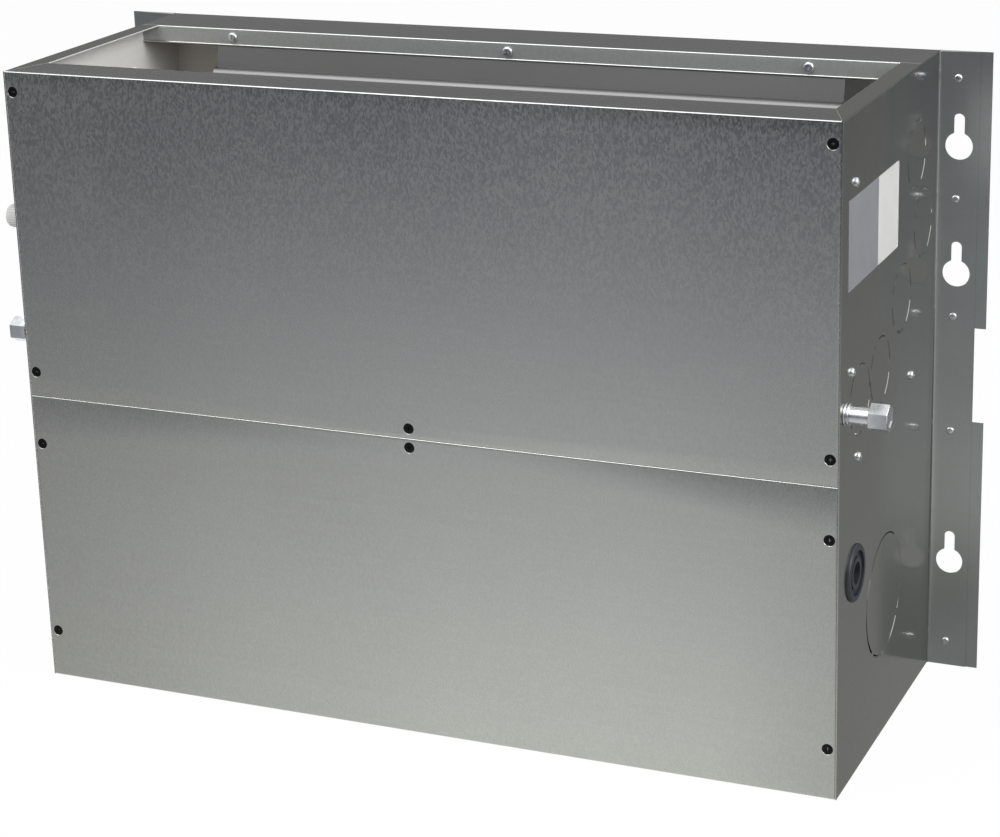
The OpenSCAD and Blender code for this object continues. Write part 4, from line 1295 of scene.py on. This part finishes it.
@dataclass
class Casing:
    """The whole casing: sheets, screws, entries, caps and labels."""

    upper: Pairs = (mm(-346.5, 518.0), mm(346.5, 518.0), mm(-346.5, 278.0), mm(346.5, 278.0), mm(0.0, 265.0))
    lower: Pairs = (mm(-346.5, 214.0), mm(346.5, 214.0), mm(-346.5, 42.0), mm(346.5, 42.0), mm(0.0, 249.0))
    lip: Pairs = (mm(-262.0, 527.5), mm(0.0, 527.5), mm(262.0, 527.5))
    sides: Pairs = (mm(-105.0, 482.5), mm(-110.0, 338.2), mm(-90.0, 265.0), mm(64.0, 283.0))

    def build(self) -> None:
        """Builds and dresses every piece of the casing."""
        sheets = Sheets()
        self.fronts(sheets)
        self.back(sheets)
        self.side_sheets(sheets)
        Screws().build(sheets, self.upper + self.lower, self.lip, self.sides)
        caps = DrainCaps()
        caps.collars(sheets)
        caps.build()
        CableEntries().build(sheets)
        Labels().build()

    def fronts(self, sheets: Sheets) -> None:
        """Both front panels, the upper one with a plainer flange."""
        upper = hand_over(sheets.upper_panel(self.upper), FRONT, "upper_sheet", "upper_front_panel")
        dress_faces(upper, SHEET, lambda c, n: n.z > 0.3 and c.z > sheets.top - sheets.bend)
        hand_over(sheets.lower_panel(self.lower), FRONT, "galvanised", "lower_front_panel")

    def back(self, sheets: Sheets) -> None:
        """The back panel, with a half-matt lip and white inside as painted light, and flanges as painted
        reflection.
        """
        back = hand_over(sheets.back_panel(self.lip), SHEET, "galvanised", "back_panel")
        hem_z = sheets.top - sheets.lip + sheets.hem
        inside = sheets.rear - 2 * sheets.sheet
        # The lip and the inside are painted light, and the wall flanges a painted reflection.
        dress_faces(back, LIP_PAINTED_LIGHT, lambda c, n: n.y < -ALONG and c.y < sheets.lip_y + MM and c.z > hem_z)
        dress_faces(back, FLANGE_PAINTED_REFLECTION, lambda c, n: n.y < -ALONG and abs(c.x) > sheets.out_x)
        dress_faces(back, INNER_PAINTED_LIGHT, lambda c, n: n.y < -ALONG and abs(c.x) < sheets.in_x and c.y > inside)

    def side_sheets(self, sheets: Sheets) -> None:
        """Both side panels, with a white inside, lighter flanges and zinc buttons: painted light, reflection
        and highlight.
        """

        def centre(node: str) -> Pair:
            """The Y and Z centre of a node."""
            low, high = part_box(node)
            return ((low.y + high.y) / 2, (low.z + high.z) / 2)

        holes = SideHoles(centre("right_drain_cap"), centre("cable_grommet"), centre("cable_gland"), self.sides)
        button_y = sheets.rear - 2.1 * sheets.sheet
        button_x = sheets.out_x + 10 * MM
        for side in Side:
            name = side.name.lower()
            panel = hand_over(sheets.side_panel(side, holes), SIDES, "galvanised", f"{name}_side_panel",
                              f"{name}_wall_flange", crease=25.0)
            # The inside is painted light, and the wall flanges a painted reflection.
            dress_faces(panel, INNER_PAINTED_LIGHT, lambda c, n: side.value * n.x < -ALONG)
            dress_faces(panel, FLANGE_PAINTED_REFLECTION, lambda c, n: n.y < -ALONG and abs(c.x) > sheets.out_x + MM)
            # The clinch buttons, pressed from the sheet, wear bright zinc: a painted highlight.
            dress_faces(panel, ZINC, lambda c, n: c.y < button_y and abs(c.x) > button_x)


# Stage


@dataclass
class Studio:
    """A white sweep, soft lamps, cards for the metal to reflect, and the photo's camera.

    front_fall is the floor's tone at shares of front_reach before the unit, and fan_fall its share at
    slants within fan_span, seen from fan_point, where the front panels mirror the camera.
    """

    eye: Spot = (0.8642, -1.9177, 0.9379)
    yaw: float = 0.4148
    pitch: float = 0.3026
    roll: float = -0.03
    focal: float = 2.62486
    sensor: float = 36.0
    shift: Pair = (0.0, -0.06)
    front_fall: Pairs = (
        (0.0, 0.86), (0.056, 0.77), (0.139, 0.645), (0.221, 0.545), (0.274, 0.48), (0.327, 0.4),
        (0.451, 0.28), (0.61, 0.17), (0.801, 0.125), (1.0, 0.11))
    front_reach: float = 3.861
    front_y: float = -0.14
    near_tint: Colour = (0.99, 1.0, 0.975)
    far_tint: Colour = (0.98, 1.0, 1.18)
    tint_reach: float = 0.58
    fan_point: Pair = (0.864, 1.638)
    fan_span: Pair = (-0.821, -0.171)
    fan_fall: Pairs = (
        (0.0, 0.48), (0.22, 0.62), (0.36, 0.8), (0.53, 0.95), (0.66, 1.0), (0.74, 0.97), (0.82, 0.8),
        (1.0, 0.65))
    side_tones: Pair = (0.25, 0.135)
    side_reach: float = 0.75
    rear_tone: float = 0.2
    room_tone: float = 0.16
    front_span: tuple[Spot, Spot] = ((-7.0, -6.0, 0.0001), (6.0, -0.1405, 0.0006))
    side_span: tuple[Spot, Spot] = ((0.3542, -0.1405, 0.0001), (1.5, 8.0, 0.0006))
    rear_span: tuple[Spot, Spot] = ((-7.0, 4.0, 0.0), (5.0, 4.01, 2.8))
    room_span: tuple[Spot, Spot] = ((-9.0, -6.01, 0.0), (7.0, -6.0, 2.2))
    lamps: tuple[tuple[str, Spot, float, float], ...] = (
        ("key", (-1.2, -1.6, 3.2), 2.6, 70.0), ("fill", (2.4, -0.7, 2.0), 2.0, 52.0))
    floor_size: float = 60.0
    floor_drop: float = 0.5 * MM
    world_light: float = 0.5
    floor_glow: float = 0.96
    floor_tone: float = 0.86
    aim: Spot = (0.0, 0.0, 0.25)

    def build(self) -> None:
        """Sets the world, floor, cards, lamps and camera."""
        self.world()
        self.floor()
        self.front_card()
        self.flat_card("side_card", *self.side_span, self.side_tones)
        self.flat_card("rear_card", *self.rear_span, (self.rear_tone,) * 2)
        self.flat_card("room_card", *self.room_span, (self.room_tone,) * 2)
        for lamp in self.lamps:
            self.lamp(*lamp)
        self.camera()

    def world(self) -> None:
        """A white surround, seen at full strength and softer as light."""
        n = Nodes("white_sweep", world=True)
        level = n.span(n.seen(), 0.0, 1.0, self.world_light, 1.0)
        bpy.context.scene.world = n.end(n.add("ShaderNodeBackground", Color=WHITE, Strength=level))

    def floor(self) -> None:
        """A pale floor that keeps a soft shadow."""
        deselect()
        bpy.ops.mesh.primitive_plane_add(size=self.floor_size, location=(0, 0, -self.floor_drop))
        floor = settle("floor")
        n = Nodes("floor_white")
        share = n.span(n.seen(), 0.0, 1.0, 0.0, self.floor_glow)
        matt = n.add("ShaderNodeBsdfDiffuse", Color=(*(self.floor_tone,) * 3, 1.0))
        glow = n.add("ShaderNodeEmission", Color=WHITE, Strength=1.0)
        both = n.add("ShaderNodeMixShader", in0=share, in1=matt.outputs[0], in2=glow.outputs[0])
        floor.data.materials.append(n.end(both))

    def set_card(self, card: Piece, n: Nodes, colour: object, strength: object) -> None:
        """Lets a card glow, and leaves it to the metal's reflections alone.

        Args:
            card: The card.
            n: The tree of its material.
            colour: The glow's colour, or the socket that gives it.
            strength: Its strength, or the socket that gives it.
        """
        card.data.materials.append(n.end(n.add("ShaderNodeEmission", Color=colour, Strength=strength)))
        card.visible_camera = False
        card.visible_diffuse = False
        card.visible_transmission = False
        card.visible_shadow = False

    def front_card(self) -> None:
        """The floor before the unit as the front panels reflect it: a pool of light, dim further off."""
        card = box("front_card", *self.front_span)
        n = Nodes("front_fall")
        place = n.apart()
        away = n.span(place["Y"], self.front_y, self.front_y - self.front_reach)
        aside = n.sum(place["X"], self.fan_point[0], "SUBTRACT")
        ahead = n.sum(self.fan_point[1], place["Y"], "SUBTRACT")
        slant = n.span(n.sum(aside, ahead, "DIVIDE"), *self.fan_span)
        depth = []
        for stop, tone in self.front_fall:
            share = min(1.0, stop / self.tint_reach)
            tint = [near + (far - near) * share for near, far in zip(self.near_tint, self.far_tint)]
            depth.append((stop, tuple(tone * part for part in tint)))
        width = [(stop, (tone,) * 3) for stop, tone in self.fan_fall]
        colour = n.mix(1.0, n.ramp(away, depth), n.ramp(slant, width), "MULTIPLY")
        self.set_card(card, n, colour, 1.0)

    def flat_card(self, name: str, low: Spot, high: Spot, tones: Pair) -> None:
        """A grey card.

        Args:
            name: The card's name.
            low: Its lowest corner.
            high: Its highest corner.
            tones: The brightness that the metal sees at the card's lowest X, and at the end of the side
                reach.
        """
        card = box(name, low, high)
        n = Nodes(f"{name}_tone")
        self.set_card(card, n, WHITE, n.span(n.apart()["X"], low[0], low[0] + self.side_reach, *tones))

    def lamp(self, name: str, spot: Spot, size: float, power: float) -> None:
        """A square soft lamp that looks at the unit.

        Args:
            name: The lamp's name.
            spot: Its place.
            size: Its side length.
            power: Its power in watts.
        """
        deselect()
        bpy.ops.object.light_add(type="AREA", location=spot)
        lamp = bpy.context.object
        lamp.name = name
        lamp.data.size = size
        lamp.data.energy = power
        lamp.rotation_euler = (Vector(self.aim) - Vector(spot)).to_track_quat("-Z", "Y").to_euler()

    def camera(self) -> None:
        """The photo's camera, with a small lens shift for the picture's framing."""
        level = math.cos(self.pitch)
        ahead = Vector((-math.sin(self.yaw) * level, math.cos(self.yaw) * level, -math.sin(self.pitch)))
        right = Vector((math.cos(self.yaw), math.sin(self.yaw), 0.0))
        above = right.cross(ahead)
        tilt_cos, tilt_sin = math.cos(self.roll), math.sin(self.roll)
        axes = (tilt_cos * right + tilt_sin * above, tilt_cos * above - tilt_sin * right, -ahead)
        deselect()
        bpy.ops.object.camera_add(location=self.eye)
        camera = bpy.context.object
        camera.rotation_euler = Matrix(axes).transposed().to_euler()
        camera.data.sensor_width = self.sensor
        camera.data.lens = self.focal * self.sensor
        camera.data.shift_x, camera.data.shift_y = self.shift
        bpy.context.scene.camera = camera


def main() -> None:
    """Builds every piece, dresses the frame and sets the stage."""
    logging.basicConfig(level=logging.INFO, format="%(message)s")
    bpy.context.scene.view_settings.view_transform = "Standard"
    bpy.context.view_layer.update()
    for finish, nodes in CAD_FINISHES.items():
        for node in nodes:
            dress(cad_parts[node], finish)
    Casing().build()
    Coil().build()
    Studio().build()


if __name__ == "__main__":
    main()
